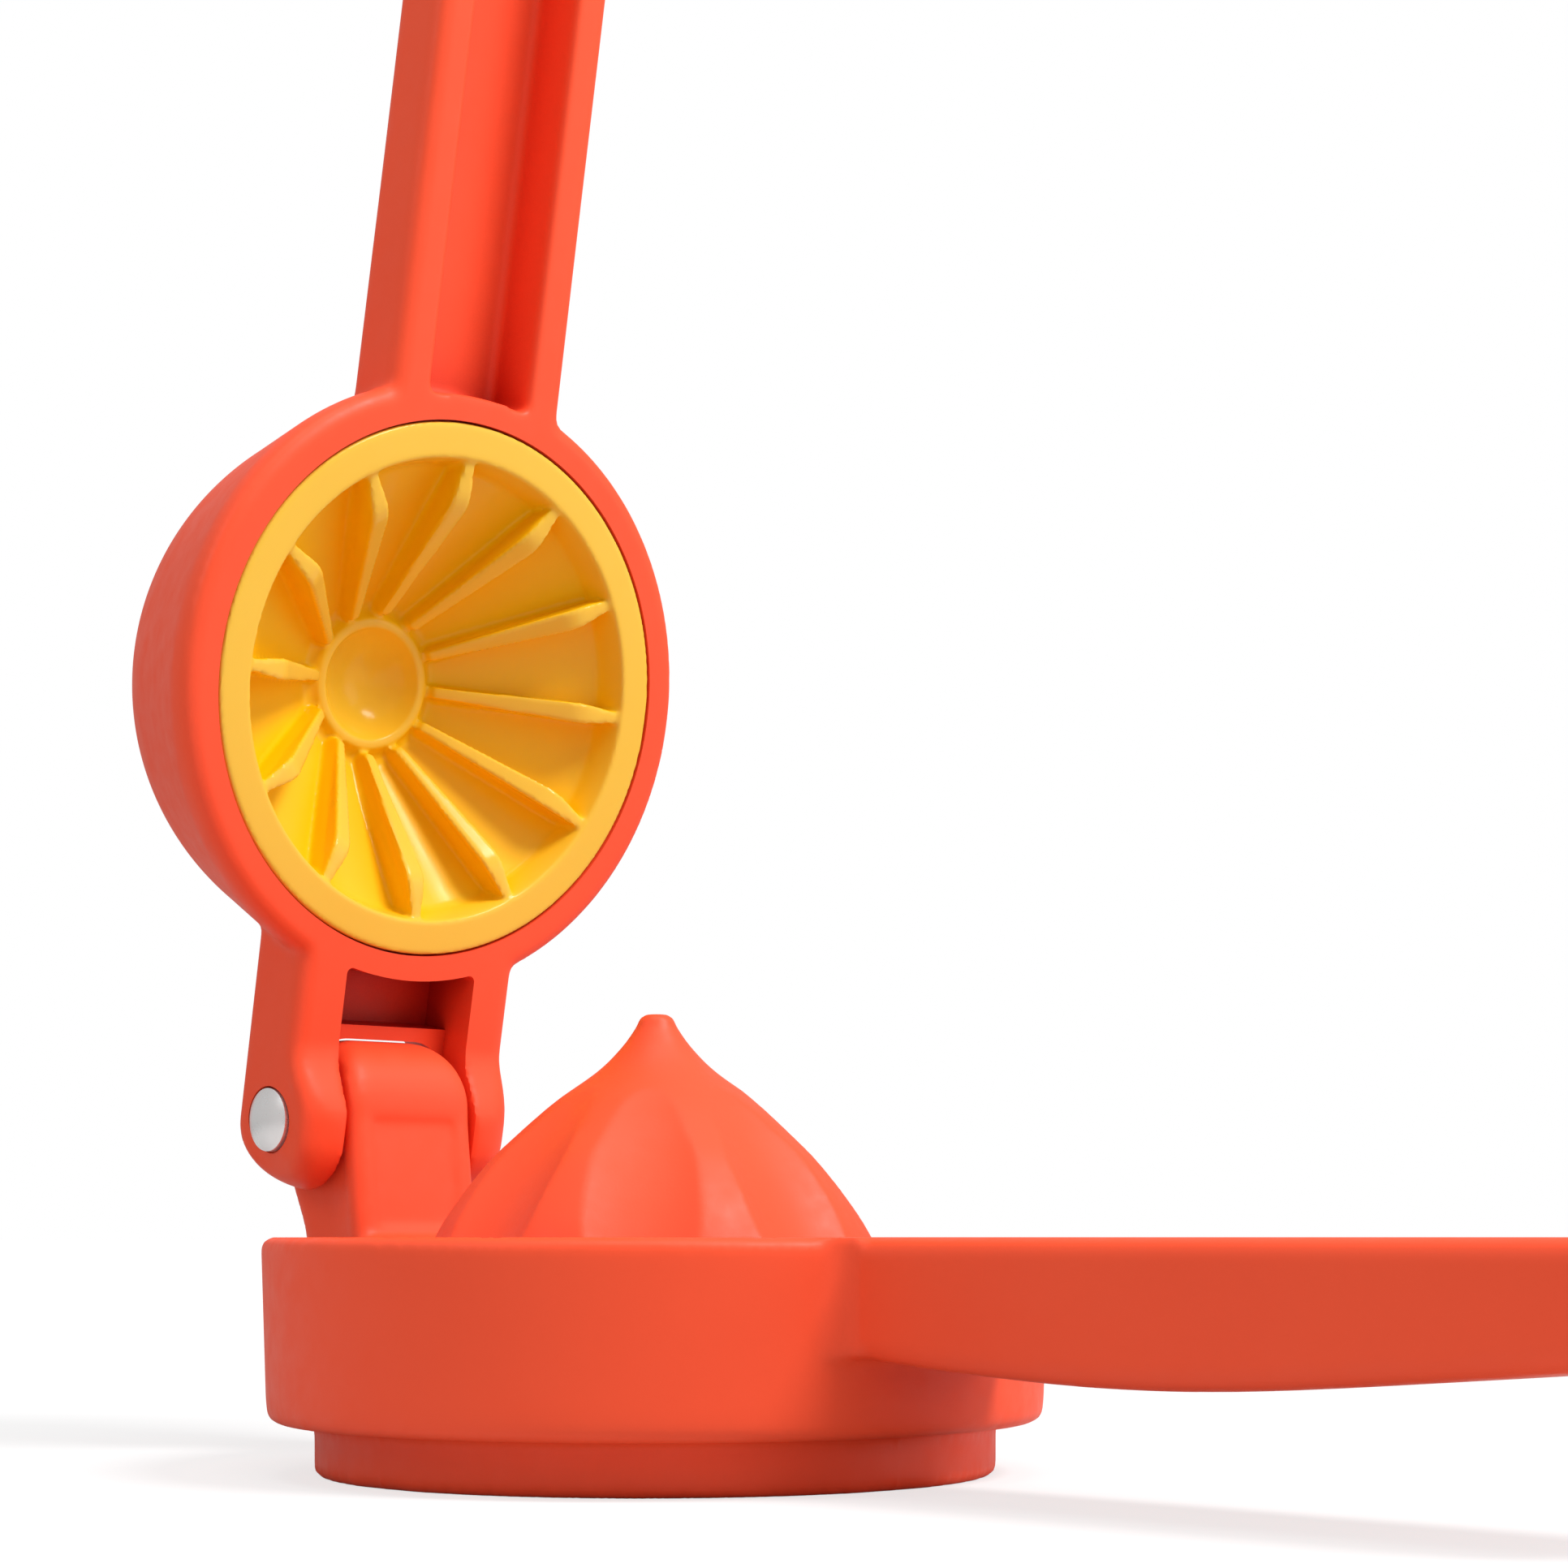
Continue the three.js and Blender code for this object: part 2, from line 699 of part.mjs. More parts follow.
/** Window under the cup: a pocket closed at the back, over the set-back web. */
function windowCut() {
  const half = slotHalf;
  const turn = Math.asin(half / windowRadius);
  const crown = arcPoints(
    0, hingeReach, windowRadius, windowRadius,
    -Math.PI / 2 + turn, -Math.PI / 2 - turn,
  ).map((p, i, all) => [p.x, p.y, i === 0 || i === all.length - 1 ? arm.windowRound : 0]);
  const front = arm.faceLead + overrun;
  const pocketDepth = arm.faceLead + arm.earBack - arm.windowFloor + overrun;
  const outline = roundCorners([[-half, webHigh], [half, webHigh], ...crown]);
  const recess = [[-half, 0], [half, 0], [half, webHigh + seatGap], [-half, webHigh + seatGap]];
  return extrudeBack(outline, front, pocketDepth)
    .add(extrudeBack(roundCorners(recess), front, arm.webSetback + overrun));
}

/** Slot between the ears that the base's knuckle turns in. */
function knuckleSlot() {
  const reach = arm.lobeRadius + overrun;
  const outline = roundCorners([
    [-slotHalf, -reach - arm.lobeDrop],
    [slotHalf, -reach - arm.lobeDrop],
    [slotHalf, webLow],
    [-slotHalf, webLow],
  ]);
  return extrudeBack(outline, reach, 2 * reach);
}

/** Cut that makes the upper handle a channel, its lower end following the cup's ring. */
function upperHandleChannel() {
  const half = handleWidth / 2 - arm.wall;
  const turn = Math.asin(half / channelRise);
  const curve = arcPoints(
    0, hingeReach, channelRise, channelRise,
    Math.PI / 2 + turn, Math.PI / 2 - turn,
  ).map((p, i, all) => [p.x, p.y, i === 0 || i === all.length - 1 ? arm.channelRound / 3 : 0]);
  const end = armLength - arm.channelEnd;
  const outline = [...curve, [half, end, arm.channelRound], [-half, end, arm.channelRound]];
  return extrudeBack(roundCorners(outline), arm.faceLead + overrun, arm.channelDepth + overrun);
}

/** Bore through both ears with a seat for the pin's head on each side. */
function earBores() {
  const seat = clevisHalf - pin.headSeat;
  const headBore = pin.headRadius + pin.headGap;
  return rodY(pin.shankRadius + pinGap, -clevisHalf - overrun, clevisHalf + overrun)
    .add(rodY(headBore, seat, clevisHalf + overrun))
    .add(rodY(headBore, -clevisHalf - overrun, -seat));
}

/** Press arm: cup housing, clevis and handle in one moulding. */
function makeArm() {
  const solid = cupOutside()
    .add(armPlate())
    .add(extrudeAcross(clevisOutline(), 2 * clevisHalf, arm.earRound))
    .subtract(knuckleSlot())
    .subtract(windowCut())
    .subtract(upperHandleChannel())
    .subtract(cupInside())
    .subtract(earBores());
  return toMesh('press_arm', solid, shellPaint);
}

/** Inner side of the insert's bowl between the fins, from the boss out to the ring. */
function bowlLine() {
  const inner = ringRadius - insert.ringWidth;
  const boss = insert.dimpleRadius + insert.bossWall;
  return [
    [boss + insert.bossRise, insert.dimpleDepth + insert.bossRise, insert.bossRise],
    [inner - insert.shelfWidth, insert.shelfDepth + insert.wall / 2, insert.shelfDepth],
    [inner - insert.wall / 2, insert.shelfDepth - insert.wall / 2, insert.wall],
    [inner, 0, insert.ringRound],
  ];
}

/** Insert without its fins: ring, stepped bowl, boss and dimple, as a profile about +X. */
function insertShell() {
  const front = arm.faceLead;
  const inner = ringRadius - insert.ringWidth;
  const boss = insert.dimpleRadius + insert.bossWall;
  const sphere = (insert.dimpleRadius ** 2 + insert.dimpleSag ** 2) / (2 * insert.dimpleSag);
  const centre = insert.dimpleDepth + insert.dimpleSag - sphere;
  const turn = Math.asin(insert.dimpleRadius / sphere);
  const dimple = arcPoints(0, centre, sphere, sphere, Math.PI / 2, Math.PI / 2 - turn);
  dimple[0].x = 0;
  const bottom = insert.dimpleDepth + insert.dimpleSag + insert.wall;
  const face = [
    ...dimple.map((p) => [p.x, p.y]),
    [boss, insert.dimpleDepth, insert.bossWall / 2],
    ...bowlLine(),
    [inner, -overrun],
    [0, -overrun],
  ];
  const back = [
    [0, 0],
    [ringRadius, 0, insert.ringRound],
    [ringRadius, insert.ringThickness],
    [inner + insert.wall, insert.ringThickness],
    [inner + insert.wall / 2, insert.shelfDepth + insert.wall],
    [inner - insert.shelfWidth, insert.shelfDepth + insert.wall * 2],
    [boss + insert.wall * 2, insert.dimpleDepth + insert.wall * 2],
    [boss, bottom],
    [0, bottom],
  ];
  const turned = (corners) => revolveX(
    roundCorners(corners, false).map((p) => new THREE.Vector2(p.x, front - p.y)),
  );
  return turned(back).subtract(turned(face));
}

/** One radial fin: kinked crest over a foot buried in the bowl's wall. */
function insertFin() {
  const inner = ringRadius - insert.ringWidth;
  const [boss, slope, shelf] = bowlLine();
  const sink = insert.wall / 2;
  const line = [
    [inner + sink / 2, insert.ringRound],
    [inner - insert.finKinkInset, insert.finKinkDepth, insert.shelfDepth],
    [insert.finTipRadius, insert.finTipDepth, insert.finRound * 1.5],
    [insert.finTipRadius, insert.dimpleDepth + sink],
    [boss[0] + sink, boss[1] + sink],
    [slope[0], slope[1] + sink],
    [shelf[0], shelf[1] + sink],
    [inner + sink / 2, shelf[1] - sink],
  ];
  const points = roundCorners(line).map((p) => new THREE.Vector2(arm.faceLead - p.y, p.x));
  return extrudeAcross(points, insert.finWidth, insert.finRound);
}

/** Press insert: the yellow ribbed cup that drops into the arm's housing. */
function makeInsert() {
  const fin = insertFin();
  let solid = insertShell();
  for (let i = 0; i < insert.finCount; i += 1) {
    solid = solid.add(fin.rotate([(360 * i) / insert.finCount, 0, 0]));
  }
  return toMesh('press_insert', solid.translate([0, 0, hingeReach]), insertPaint);
}

/** Domed head whose flat face seats in an ear, from the pin's axis outward at y = face. */
function pinHead() {
  const face = clevisHalf - pin.headSeat + seatGap;
  const rim = clevisHalf;
  const sphere = (pin.headRadius ** 2 + pin.domeRise ** 2) / (2 * pin.domeRise);
  const turn = Math.asin(pin.headRadius / sphere);
  const dome = arcPoints(0, rim + pin.domeRise - sphere, sphere, sphere, Math.PI / 2 - turn, Math.PI / 2);
  dome[dome.length - 1].x = 0;
  const profile = [new THREE.Vector2(0, face), new THREE.Vector2(pin.headRadius, face), ...dome];
  return toSolid(new THREE.LatheGeometry(profile, pinSteps));
}

/** Hinge pin: domed head, and a shank that is hollow at its far end. */
function makePin() {
  const head = pinHead().rotate([0, 0, 180]);
  const far = clevisHalf - pin.headSeat;
  const shank = rodY(pin.shankRadius, -far - pin.headSeat / 2, far);
  const hollow = rodY(pin.studRadius + pinGap, far - pin.studLength - seatGap, far + overrun);
  return toMesh('hinge_pin', head.add(shank).subtract(hollow), pinPaint);
}

/** Cap on the pin's far side, held by a stud in the hollow shank. */
function makePinCap() {
  const face = clevisHalf - pin.headSeat + seatGap;
  const stud = rodY(pin.studRadius, clevisHalf - pin.headSeat - pin.studLength, face + seatGap);
  return toMesh('hinge_pin_cap', pinHead().add(stud), pinPaint);
}

const press = new THREE.Group();
press.add(makeBase(), makeReamer());

const hinged = new THREE.Group();
hinged.position.set(-hingeReach, 0, baseHeight + hingeRise);
hinged.rotation.y = restLean;
hinged.add(makeArm(), makeInsert(), makePin(), makePinCap());
press.add(hinged);

export default press;
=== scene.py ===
"""Lever citrus juice press in its open pose, modelled in place on the CAD frame.

A round base with a fluted reamer over a slotted strainer, a hinge post, and an arm whose
yellow ribbed insert presses half a fruit. Sizes are millimetres, meshes are metres.
"""

import logging
import math
from collections.abc import Iterator, Sequence
from contextlib import contextmanager
from dataclasses import dataclass, field
from enum import Enum
from typing import ClassVar

import bpy
from mathutils import Matrix, Vector

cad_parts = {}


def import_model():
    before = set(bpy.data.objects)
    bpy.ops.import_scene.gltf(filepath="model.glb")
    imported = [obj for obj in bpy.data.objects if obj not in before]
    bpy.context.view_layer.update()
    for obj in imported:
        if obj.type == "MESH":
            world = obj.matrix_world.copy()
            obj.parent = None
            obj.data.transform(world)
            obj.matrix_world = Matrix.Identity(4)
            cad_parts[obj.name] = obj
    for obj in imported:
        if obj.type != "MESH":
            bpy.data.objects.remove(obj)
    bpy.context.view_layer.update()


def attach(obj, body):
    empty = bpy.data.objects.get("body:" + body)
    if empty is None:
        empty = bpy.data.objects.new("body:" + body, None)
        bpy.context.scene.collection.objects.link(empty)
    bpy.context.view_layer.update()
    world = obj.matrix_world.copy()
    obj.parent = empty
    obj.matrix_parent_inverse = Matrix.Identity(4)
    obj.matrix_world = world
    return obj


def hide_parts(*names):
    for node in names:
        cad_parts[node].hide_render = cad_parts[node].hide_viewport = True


LOG = logging.getLogger("juice_press")
MM = 0.001
WELD = 1e-6
OVERRUN = 4.0
TALL = 40.0
QUARTER = 10
ROD_SIDES = 64
CREASE = math.radians(38)
ORIGIN = Vector((0, 0, 0))
FORWARD = Vector((1, 0, 0))
ACROSS = Vector((0, 1, 0))
UP = Vector((0, 0, 1))

Object = bpy.types.Object
Material = bpy.types.Material
NodeTree = bpy.types.NodeTree
Nodes = dict[str, bpy.types.Node]
Points = list[Vector]
Corner = tuple[float, ...]
Outline = Sequence[Sequence[float]]


class Body(Enum):
    """Rigid body of the frame that a piece rides on."""

    BASE = "base"
    ARM = "arm"


class Cut(Enum):
    """What a second solid does to a first one."""

    JOIN = "UNION"
    CARVE = "DIFFERENCE"
    KEEP = "INTERSECT"


def arc(centre: Sequence[float], radius: float, start: float, end: float, steps: int) -> Points:
    """Points on an arc of a circle.

    Args:
        centre: Centre as (x, y).
        radius: Radius of the circle.
        start: First angle in radians.
        end: Last angle in radians.
        steps: Number of chords.

    Returns:
        The points from the first angle to the last.
    """
    middle = Vector(centre)
    angles = [start + (end - start) * k / steps for k in range(steps + 1)]
    return [middle + radius * Vector((math.cos(a), math.sin(a))) for a in angles]


def rounded(corners: Outline, closed: bool = True) -> Points:
    """Outline whose corners are rounded.

    Args:
        corners: Corners as (x, y) or (x, y, radius).
        closed: Whether the last corner joins the first.

    Returns:
        The points of the outline.
    """
    points: Points = []
    count = len(corners)
    for i, corner in enumerate(corners):
        here = Vector(corner[:2])
        radius = corner[2] if len(corner) > 2 else 0.0
        if radius == 0 or (not closed and i in (0, count - 1)):
            points.append(here)
            continue
        to = (Vector(corners[i - 1][:2]) - here).normalized()
        away = (Vector(corners[(i + 1) % count][:2]) - here).normalized()
        half = math.acos(max(-1.0, min(1.0, to.dot(away)))) / 2
        centre = here + (to + away).normalized() * (radius / math.sin(half))
        first = here + to * (radius / math.tan(half)) - centre
        turn = math.copysign(math.pi - 2 * half, away.x * to.y - away.y * to.x)
        start = math.atan2(first.y, first.x)
        steps = max(2, round(abs(turn) / (math.pi / 2) * QUARTER))
        points += arc(centre, radius, start, start + turn, steps)
    return points


def side_fillet(half: float, radius: float, fillet: float) -> Points:
    """Concave corner between a straight side and a ring about the origin.

    Args:
        half: Distance of the side from the middle line.
        radius: Radius of the ring.
        fillet: Radius of the corner.

    Returns:
        Points from the side's end to where the ring starts.
    """
    out = half + fillet
    along = math.sqrt((radius + fillet) ** 2 - out**2)
    turn = math.atan2(along, out)
    return arc((out, along), fillet, math.pi, math.pi + turn, QUARTER)


def spline(stations: Outline, steps: int) -> Points:
    """Smooth line through stations.

    Args:
        stations: Places as (x, y) that the line passes through.
        steps: Number of chords between two stations.

    Returns:
        The points of the line.
    """
    knots = [Vector(s) for s in stations]
    line = [knots[0]]
    for i in range(len(knots) - 1):
        before, here = knots[max(i - 1, 0)], knots[i]
        there, after = knots[i + 1], knots[min(i + 2, len(knots) - 1)]
        leave, arrive = (there - before) / 2, (after - here) / 2
        for k in range(1, steps + 1):
            t = k / steps
            line.append(
                (2 * t**3 - 3 * t**2 + 1) * here
                + (t**3 - 2 * t**2 + t) * leave
                + (3 * t**2 - 2 * t**3) * there
                + (t**3 - t**2) * arrive
            )
    return line


def ease(share: float) -> float:
    """Smooth step of a share that is first held between 0 and 1."""
    held = max(0.0, min(1.0, share))
    return held * held * (3 - 2 * held)


def circle_through(first: Vector, middle: Vector, last: Vector) -> tuple[Vector, float]:
    """Circle through three points.

    Args:
        first: First point.
        middle: Point between.
        last: Last point.

    Returns:
        Its centre and its radius.
    """
    a, b = middle - first, last - first
    across = 2 * (a.x * b.y - a.y * b.x)
    x = (b.y * a.length_squared - a.y * b.length_squared) / across
    y = (a.x * b.length_squared - b.x * a.length_squared) / across
    away = Vector((x, y))
    return first + away, away.length


def quarter_dome(radius: float, start: float, depth: float, power: float) -> Points:
    """Quarter of a superellipse from its full radius to its tip.

    Args:
        radius: Radius where the dome starts.
        start: Height of that place.
        depth: How far below it the tip lies.
        power: Exponent, 2 for an ellipse and more for a fuller dome.

    Returns:
        Points as (radius, height).
    """
    points = []
    steps = QUARTER * 4
    for k in range(steps + 1):
        angle = k / steps * math.pi / 2
        out = 0.0 if k == steps else radius * math.cos(angle) ** (2 / power)
        points.append(Vector((out, start - depth * math.sin(angle) ** (2 / power))))
    return points


def side_view(points: Outline, y: float = 0.0) -> Points:
    """Points (x, z) of a side view, set up at one place across."""
    return [Vector((p[0], y, p[1])) for p in points]


def top_view(points: Outline, z: float = 0.0) -> Points:
    """Points (x, y) of a top view, laid out at one height."""
    return [Vector((p[0], p[1], z)) for p in points]


class Bench:
    """Modelling steps that every piece shares, each made with Blender's own operators."""

    @staticmethod
    def clear() -> None:
        """Leave edit mode and deselect everything."""
        if bpy.context.object and bpy.context.object.mode != "OBJECT":
            bpy.ops.object.mode_set(mode="OBJECT")
        bpy.ops.object.select_all(action="DESELECT")

    @staticmethod
    def take(piece: Object) -> Object:
        """Make one piece the only selected and active one.

        Args:
            piece: The piece.

        Returns:
            The same piece.
        """
        Bench.clear()
        piece.select_set(True)
        bpy.context.view_layer.objects.active = piece
        return piece

    @staticmethod
    @contextmanager
    def editing() -> Iterator[None]:
        """Hold the active piece in edit mode, at first with everything selected."""
        bpy.ops.object.mode_set(mode="EDIT")
        bpy.ops.mesh.select_all(action="SELECT")
        yield
        bpy.ops.object.mode_set(mode="OBJECT")

    @staticmethod
    def wire(points: Points, closed: bool) -> Object:
        """Line of edges pulled from one vertex of a small plane.

        Args:
            points: Places in millimetres.
            closed: Whether the line returns to its start and is filled with a face.

        Returns:
            The line as an object at the origin, left in object mode.
        """
        Bench.clear()
        path = [*points, points[0]] if closed else points
        bpy.ops.mesh.primitive_plane_add(size=MM, location=path[0] * MM)
        with Bench.editing():
            bpy.ops.mesh.select_mode(type="VERT")
            bpy.ops.mesh.merge(type="CENTER")
            for here, there in zip(path, path[1:]):
                bpy.ops.mesh.extrude_vertices_move(
                    TRANSFORM_OT_translate={"value": (there - here) * MM}
                )
            if closed:
                bpy.ops.mesh.select_all(action="SELECT")
                bpy.ops.mesh.remove_doubles(threshold=WELD)
                bpy.ops.mesh.edge_face_add()
        bpy.ops.object.transform_apply()
        return bpy.context.object

    @staticmethod
    def turned(
        profile: Points, centre: Vector, axis: Vector, steps: int, angle: float = math.tau
    ) -> Object:
        """Solid of revolution of a line, or of a filled outline for part of a turn.

        Args:
            profile: Places in millimetres on one side of the axis.
            centre: A point on the axis.
            axis: Direction of the axis.
            steps: Number of steps round it.
            angle: How far the profile is carried, in radians.

        Returns:
            The solid.
        """
        piece = Bench.wire(profile, closed=angle < math.tau)
        with Bench.editing():
            bpy.ops.mesh.spin(steps=steps, angle=angle, center=centre * MM, axis=axis)
            bpy.ops.mesh.select_all(action="SELECT")
            bpy.ops.mesh.remove_doubles(threshold=WELD * 5)
            bpy.ops.mesh.normals_make_consistent(inside=False)
        return piece

    @staticmethod
    def slab(outline: Points, push: Vector, edge: float = 0.0, steps: int = 5) -> Object:
        """Solid of a flat outline pushed straight, with the edges of both ends rounded.

        Args:
            outline: Places in millimetres in one plane.
            push: How far and where the outline is pushed.
            edge: Radius of the rounded edges, or nothing.
            steps: Steps of the rounding.

        Returns:
            The solid.
        """
        piece = Bench.wire(outline, closed=True)
        with Bench.editing():
            bpy.ops.mesh.extrude_region_move(TRANSFORM_OT_translate={"value": push * MM})
            bpy.ops.mesh.select_all(action="SELECT")
            bpy.ops.mesh.normals_make_consistent(inside=False)
            if edge > 0:
                bpy.ops.mesh.select_mode(type="FACE")
                bpy.ops.mesh.select_all(action="DESELECT")
                bpy.ops.object.mode_set(mode="OBJECT")
                for face in piece.data.polygons:
                    face.select = abs(face.normal.dot(push.normalized())) > 0.999
                bpy.ops.object.mode_set(mode="EDIT")
                bpy.ops.mesh.bevel(offset=edge * MM, segments=steps, affect="EDGES")
        return piece

    @staticmethod
    def round_ends(piece: Object, way: Vector, start: float, end: float, inward: float) -> Object:
        """Draw both ends of a slab inward along a quarter ellipse.

        Args:
            piece: The slab, pushed along Y and centred on the XZ plane.
            way: Direction that the ends curve in.
            start: Place along it in millimetres where they begin to curve.
            end: Place where they have come in by the whole amount.
            inward: That amount in millimetres.

        Returns:
            The same piece.
        """
        for vertex in piece.data.vertices:
            along = (vertex.co.dot(way) / MM - start) / (end - start)
            if along > 0:
                drop = inward * (1 - math.sqrt(max(0.0, 1 - along * along)))
                vertex.co.y -= math.copysign(drop * MM, vertex.co.y)
        return piece

    @staticmethod
    def rod(radius: float, start: Vector, end: Vector) -> Object:
        """Round bar between two points.

        Args:
            radius: Radius in millimetres.
            start: Centre of its first end.
            end: Centre of its last end.

        Returns:
            The bar.
        """
        Bench.clear()
        along = end - start
        bpy.ops.mesh.primitive_cylinder_add(
            vertices=ROD_SIDES,
            radius=radius * MM,
            depth=along.length * MM,
            location=(start + end) / 2 * MM,
            rotation=along.to_track_quat("Z", "Y").to_euler(),
        )
        bpy.ops.object.transform_apply()
        return bpy.context.object

    @staticmethod
    def combine(piece: Object, cut: Cut, *others: Object) -> Object:
        """Join, carve or intersect a piece with others, which are used up.

        Args:
            piece: The piece that stays.
            cut: What happens.
            *others: The pieces that are used up, one after the other.

        Returns:
            The piece that stays.
        """
        Bench.take(piece)
        for other in others:
            solver = piece.modifiers.new("shape", "BOOLEAN")
            solver.operation = cut.value
            solver.solver = "EXACT"
            solver.object = other
            bpy.ops.object.modifier_apply(modifier=solver.name)
            bpy.data.objects.remove(other, do_unlink=True)
        return piece

    @staticmethod
    def ring_of(piece: Object, count: int, centre: Vector, axis: Vector) -> Object:
        """Copies of a piece set evenly round an axis and joined into one object.

        Args:
            piece: The piece, which becomes the first copy.
            count: Number of copies.
            centre: A point on the axis in millimetres.
            axis: Direction of the axis.

        Returns:
            The object that holds them all.
        """
        copies = [piece]
        place = Matrix.Translation(centre * MM)
        for i in range(1, count):
            copy = piece.copy()
            copy.data = piece.data.copy()
            bpy.context.collection.objects.link(copy)
            turn = Matrix.Rotation(math.tau * i / count, 4, axis)
            copy.matrix_world = place @ turn @ place.inverted()
            copies.append(copy)
        Bench.take(piece)
        for copy in copies:
            copy.select_set(True)
        bpy.ops.object.transform_apply()
        bpy.ops.object.join()
        return piece

    @staticmethod
    def soften(piece: Object, grain: float, passes: int, keep: float = 1.0) -> Object:
        """Give the solid one even skin and let its edges and corners run soft.

        Args:
            piece: The solid.
            grain: Size of the skin's faces in millimetres.
            passes: Number of smoothing passes.
            keep: Share of the faces that stays.

        Returns:
            The same piece.
        """
        Bench.take(piece)
        skin = piece.modifiers.new("skin", "REMESH")
        skin.mode = "VOXEL"
        skin.voxel_size = grain * MM
        bpy.ops.object.modifier_apply(modifier=skin.name)
        smooth = piece.modifiers.new("smooth", "SMOOTH")
        smooth.factor = 0.5
        smooth.iterations = passes
        bpy.ops.object.modifier_apply(modifier=smooth.name)
        if keep < 1:
            thin = piece.modifiers.new("thin", "DECIMATE")
            thin.ratio = keep
            bpy.ops.object.modifier_apply(modifier=thin.name)
        return piece


def add_nodes(tree: NodeTree, kinds: dict[str, str]) -> Nodes:
    """Add nodes to a tree and return them under the names that the links use."""
    return {name: tree.nodes.new(kind) for name, kind in kinds.items()}


def wire_nodes(
    tree: NodeTree,
    nodes: Nodes,
    values: dict[str, dict[str | int, object]],
    links: Sequence[tuple[str, str, str, str | int]],
) -> None:
    """Fill in the inputs of nodes and link them.

    Args:
        tree: The tree that the nodes are in.
        nodes: The nodes by name.
        values: Values by socket for each node that has some.
        links: Links as (from node, its output, to node, its input).
    """
    for name, settings in values.items():
        for socket, value in settings.items():
            nodes[name].inputs[socket].default_value = value
    for source, output, target, entry in links:
        tree.links.new(nodes[source].outputs[output], nodes[target].inputs[entry])


class MouldedSkin:
    """Shader group of a moulded surface: cloudy colour, painted shade in hollows, uneven gloss,
    fine grain.
    """

    NAME = "moulded_skin"
    COLOURS = ("Light Colour", "Deep Colour", "Painted Shade Colour")
    NUMBERS = ("Closed", "Open", "Cloud Scale", "Grain Scale", "Low Roughness", "High Roughness")
    PAINTED_SHADE_SAMPLES = 8
    KINDS: ClassVar[dict[str, str]] = {
        "given": "NodeGroupInput",
        "made": "NodeGroupOutput",
        "place": "ShaderNodeTexCoord",
        "cloud": "ShaderNodeTexNoise",
        "grain": "ShaderNodeTexNoise",
        "wear": "ShaderNodeTexNoise",
        "tint": "ShaderNodeMix",
        "occlusion": "ShaderNodeAmbientOcclusion",
        "depth": "ShaderNodeMapRange",
        "shade": "ShaderNodeMix",
        "gloss": "ShaderNodeMapRange",
    }
    VALUES: ClassVar[dict[str, dict[str, float]]] = {
        "cloud": {"Detail": 3.0},
        "grain": {"Detail": 2.0},
        "wear": {"Scale": 260.0, "Detail": 4.0},
        "occlusion": {"Distance": 0.02},
        "gloss": {"From Min": 0.3, "From Max": 0.7},
    }
    LINKS = (
        ("place", "Object", "cloud", "Vector"),
        ("place", "Object", "grain", "Vector"),
        ("place", "Object", "wear", "Vector"),
        ("given", "Cloud Scale", "cloud", "Scale"),
        ("given", "Grain Scale", "grain", "Scale"),
        ("cloud", "Fac", "tint", "Factor"),
        ("given", "Light Colour", "tint", "A"),
        ("given", "Deep Colour", "tint", "B"),
        ("wear", "Fac", "gloss", "Value"),
        ("given", "Low Roughness", "gloss", "To Min"),
        ("given", "High Roughness", "gloss", "To Max"),
        # Painted shade: ambient occlusion blends the colour towards the painted shade colour in
        # recesses.
        ("occlusion", "AO", "depth", "Value"),
        ("given", "Closed", "depth", "From Min"),
        ("given", "Open", "depth", "From Max"),
        ("depth", "Result", "shade", "Factor"),
        ("given", "Painted Shade Colour", "shade", "A"),
        ("tint", "Result", "shade", "B"),
        ("shade", "Result", "made", "Colour"),
        ("gloss", "Result", "made", "Roughness"),
        ("grain", "Fac", "made", "Height"),
    )

    @classmethod
    def tree(cls) -> NodeTree:
        """Build the group once.

        Returns:
            The group's node tree.
        """
        if cls.NAME in bpy.data.node_groups:
            return bpy.data.node_groups[cls.NAME]
        tree = bpy.data.node_groups.new(cls.NAME, "ShaderNodeTree")
        add = tree.interface.new_socket
        for name in cls.COLOURS:
            add(name, in_out="INPUT", socket_type="NodeSocketColor")
        for name in cls.NUMBERS:
            add(name, in_out="INPUT", socket_type="NodeSocketFloat")
        add("Colour", in_out="OUTPUT", socket_type="NodeSocketColor")
        for name in ("Roughness", "Height"):
            add(name, in_out="OUTPUT", socket_type="NodeSocketFloat")
        nodes = add_nodes(tree, cls.KINDS)
        nodes["tint"].data_type = nodes["shade"].data_type = "RGBA"
        # Ambient occlusion samples for the painted shade in recesses.
        nodes["occlusion"].samples = cls.PAINTED_SHADE_SAMPLES
        nodes["occlusion"].only_local = True
        wire_nodes(tree, nodes, cls.VALUES, cls.LINKS)
        return tree


